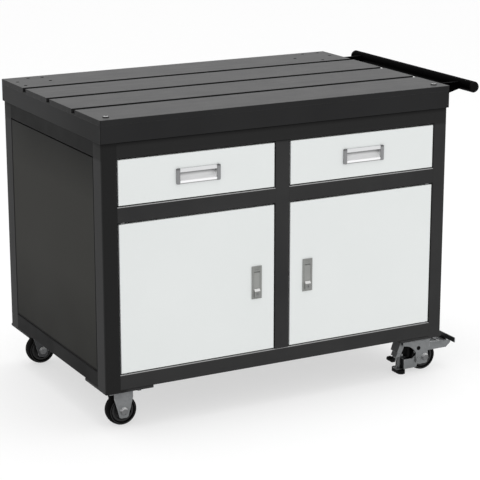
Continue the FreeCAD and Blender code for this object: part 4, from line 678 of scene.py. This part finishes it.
# deck screws: a low dome with a six-sided socket, and the shank under it
screwSize = dict(places=((-0.527, -0.294, 0.794), (0.415, -0.294, 0.794)), radius=0.008, edge=0.0009,
                 rise=0.0026, steps=6, spread=0.8, socket=0.0026, sink=0.0016, shank=0.0039, shankLong=0.017,
                 shankEdge=0.0008, sides=48, shankSides=24)
dome = addCylinder(screwSize["sides"], screwSize["radius"], screwSize["edge"], (0, 0, screwSize["edge"] / 2))
pickFaces(dome, upward)
for step in range(screwSize["steps"]):
    # each ring of the dome rises less and narrows more
    before, after = (quarterTurn * (step + ahead) / screwSize["steps"] for ahead in (0, 1))
    extrude((0, 0, screwSize["rise"] * (math.sin(after) - math.sin(before))))
    narrow = math.cos(screwSize["spread"] * after) / math.cos(screwSize["spread"] * before)
    bpy.ops.transform.resize(value=(narrow, narrow, 1))
crest = screwSize["edge"] + screwSize["rise"]
cutter = addCylinder(hexSides, screwSize["socket"], 2 * screwSize["sink"], (0, 0, crest))
takeUp(dome)
socket = dome.modifiers.new("socket", "BOOLEAN")
socket.operation, socket.object, socket.solver = "DIFFERENCE", cutter, "EXACT"
bpy.ops.object.modifier_apply(modifier="socket")
shank = addCylinder(screwSize["shankSides"], screwSize["shank"], screwSize["shankLong"],
                    (0, 0, -screwSize["shankLong"] / 2))
bevelFaces(shank, downward, screwSize["shankEdge"])
screw = joinPieces([dome, shank], "deckScrew")
screws = [copyPiece(screw, place) for place in screwSize["places"]]
dropPieces(cutter, screw)
dressPiece(joinPieces(screws, "deckScrews"), "domeSteel", "cabinet", "top_screws")
print("deck screws: 1 piece")

# weld beads where the push bar's brackets meet the deck and the bar
beadSize = dict(radius=0.0024, pitch=0.0024, squash=0.75, stand=0.0004, sway=0.12, beat=2.3)
bracketSize = dict(side=0.246, half=0.003, root=0.744, top=0.7855, edge=0.444, reach=0.541, axis=0.778,
                   bar=0.015, arcFrom=149, arcTurn=62, arcBeads=8)
upBeads = int((bracketSize["top"] - bracketSize["root"]) / beadSize["pitch"])
spots = []
for y in (-bracketSize["side"], bracketSize["side"]):
    for across in (y - bracketSize["half"], y + bracketSize["half"]):
        for n in range(upBeads):
            high = bracketSize["root"] + (n + 0.5) * beadSize["pitch"]
            spots.append((bracketSize["edge"] + beadSize["stand"], across, high))
        for n in range(bracketSize["arcBeads"]):
            share = n / (bracketSize["arcBeads"] - 1)
            angle = math.radians(bracketSize["arcFrom"] + bracketSize["arcTurn"] * share)
            spots.append((bracketSize["reach"] + bracketSize["bar"] * math.cos(angle), across,
                          bracketSize["axis"] + bracketSize["bar"] * math.sin(angle)))
clearSelection()
bpy.ops.mesh.primitive_ico_sphere_add(subdivisions=2, radius=beadSize["radius"])
bead = bpy.context.object
pickWhole()
bpy.ops.transform.resize(value=(1, 1, beadSize["squash"]))
beads = [copyPiece(bead, spot, stretch=1 + beadSize["sway"] * math.sin(number * beadSize["beat"]))
         for number, spot in enumerate(spots)]
dropPieces(bead)
dressPiece(joinPieces(beads, "bracketWelds"), "barPaint", "cabinet")
print("weld beads:", len(spots))

# floor, light and camera
floorWide = 120
floorLook = dict(color=grey(0.38), tone=grey(0.385), glow=0.6, grain=40, cloud=0.4, bump=0, rough=(0.8, 0.9),
                 edgeWearAndHighlight=grey(0.94), rub=0, round=0.0008, shine=0.1)
clearSelection()
bpy.ops.mesh.primitive_plane_add(size=floorWide)
floor = bpy.context.object
floor.name = "studioFloor"
floor.data.materials.append(makeFinish("floorPaint", floorLook))

lamps = [
    dict(name="overheadBox", place=(0.2, 0.3, 3.4), aim=(0, 0, 0.6), size=(3.4, 2.6), power=45),
    dict(name="frontBox", place=(2.6, -3.6, 2.2), aim=(0, 0, 0.45), size=(2.0, 2.0), power=6),
]
for lamp in lamps:
    bpy.ops.object.light_add(type="AREA", location=lamp["place"])
    light = bpy.context.object
    light.name = lamp["name"]
    light.data.shape = "RECTANGLE"
    light.data.size, light.data.size_y = lamp["size"]
    light.data.energy = lamp["power"]
    toward = [b - a for a, b in zip(lamp["place"], lamp["aim"])]
    flat = math.hypot(toward[0], toward[1])
    light.rotation_euler = (math.atan2(flat, -toward[2]), 0, math.atan2(-toward[0], toward[1]))

worldLook = dict(color=(1, 1, 1, 1), strength=0.94)
world = bpy.data.worlds.new("studioWorld")
world.use_nodes = True
fillInputs(world.node_tree, world.node_tree.nodes["Background"],
           {"Color": worldLook["color"], "Strength": worldLook["strength"]})
bpy.context.scene.world = world
bpy.context.scene.view_settings.view_transform = "Standard"

# focal and side are in pixels, sensor in millimetres
cameraLook = dict(place=(-2.2053, -4.1138, 1.6151), pitch=-0.264, yaw=0.491, focal=1769.9, side=480,
                  sensor=36)
bpy.ops.object.camera_add(location=cameraLook["place"],
                          rotation=(quarterTurn + cameraLook["pitch"], 0, -cameraLook["yaw"]))
camera = bpy.context.object
camera.data.sensor_width = cameraLook["sensor"]
camera.data.lens = cameraLook["focal"] / cameraLook["side"] * cameraLook["sensor"]
bpy.context.scene.camera = camera
print("studio ready")
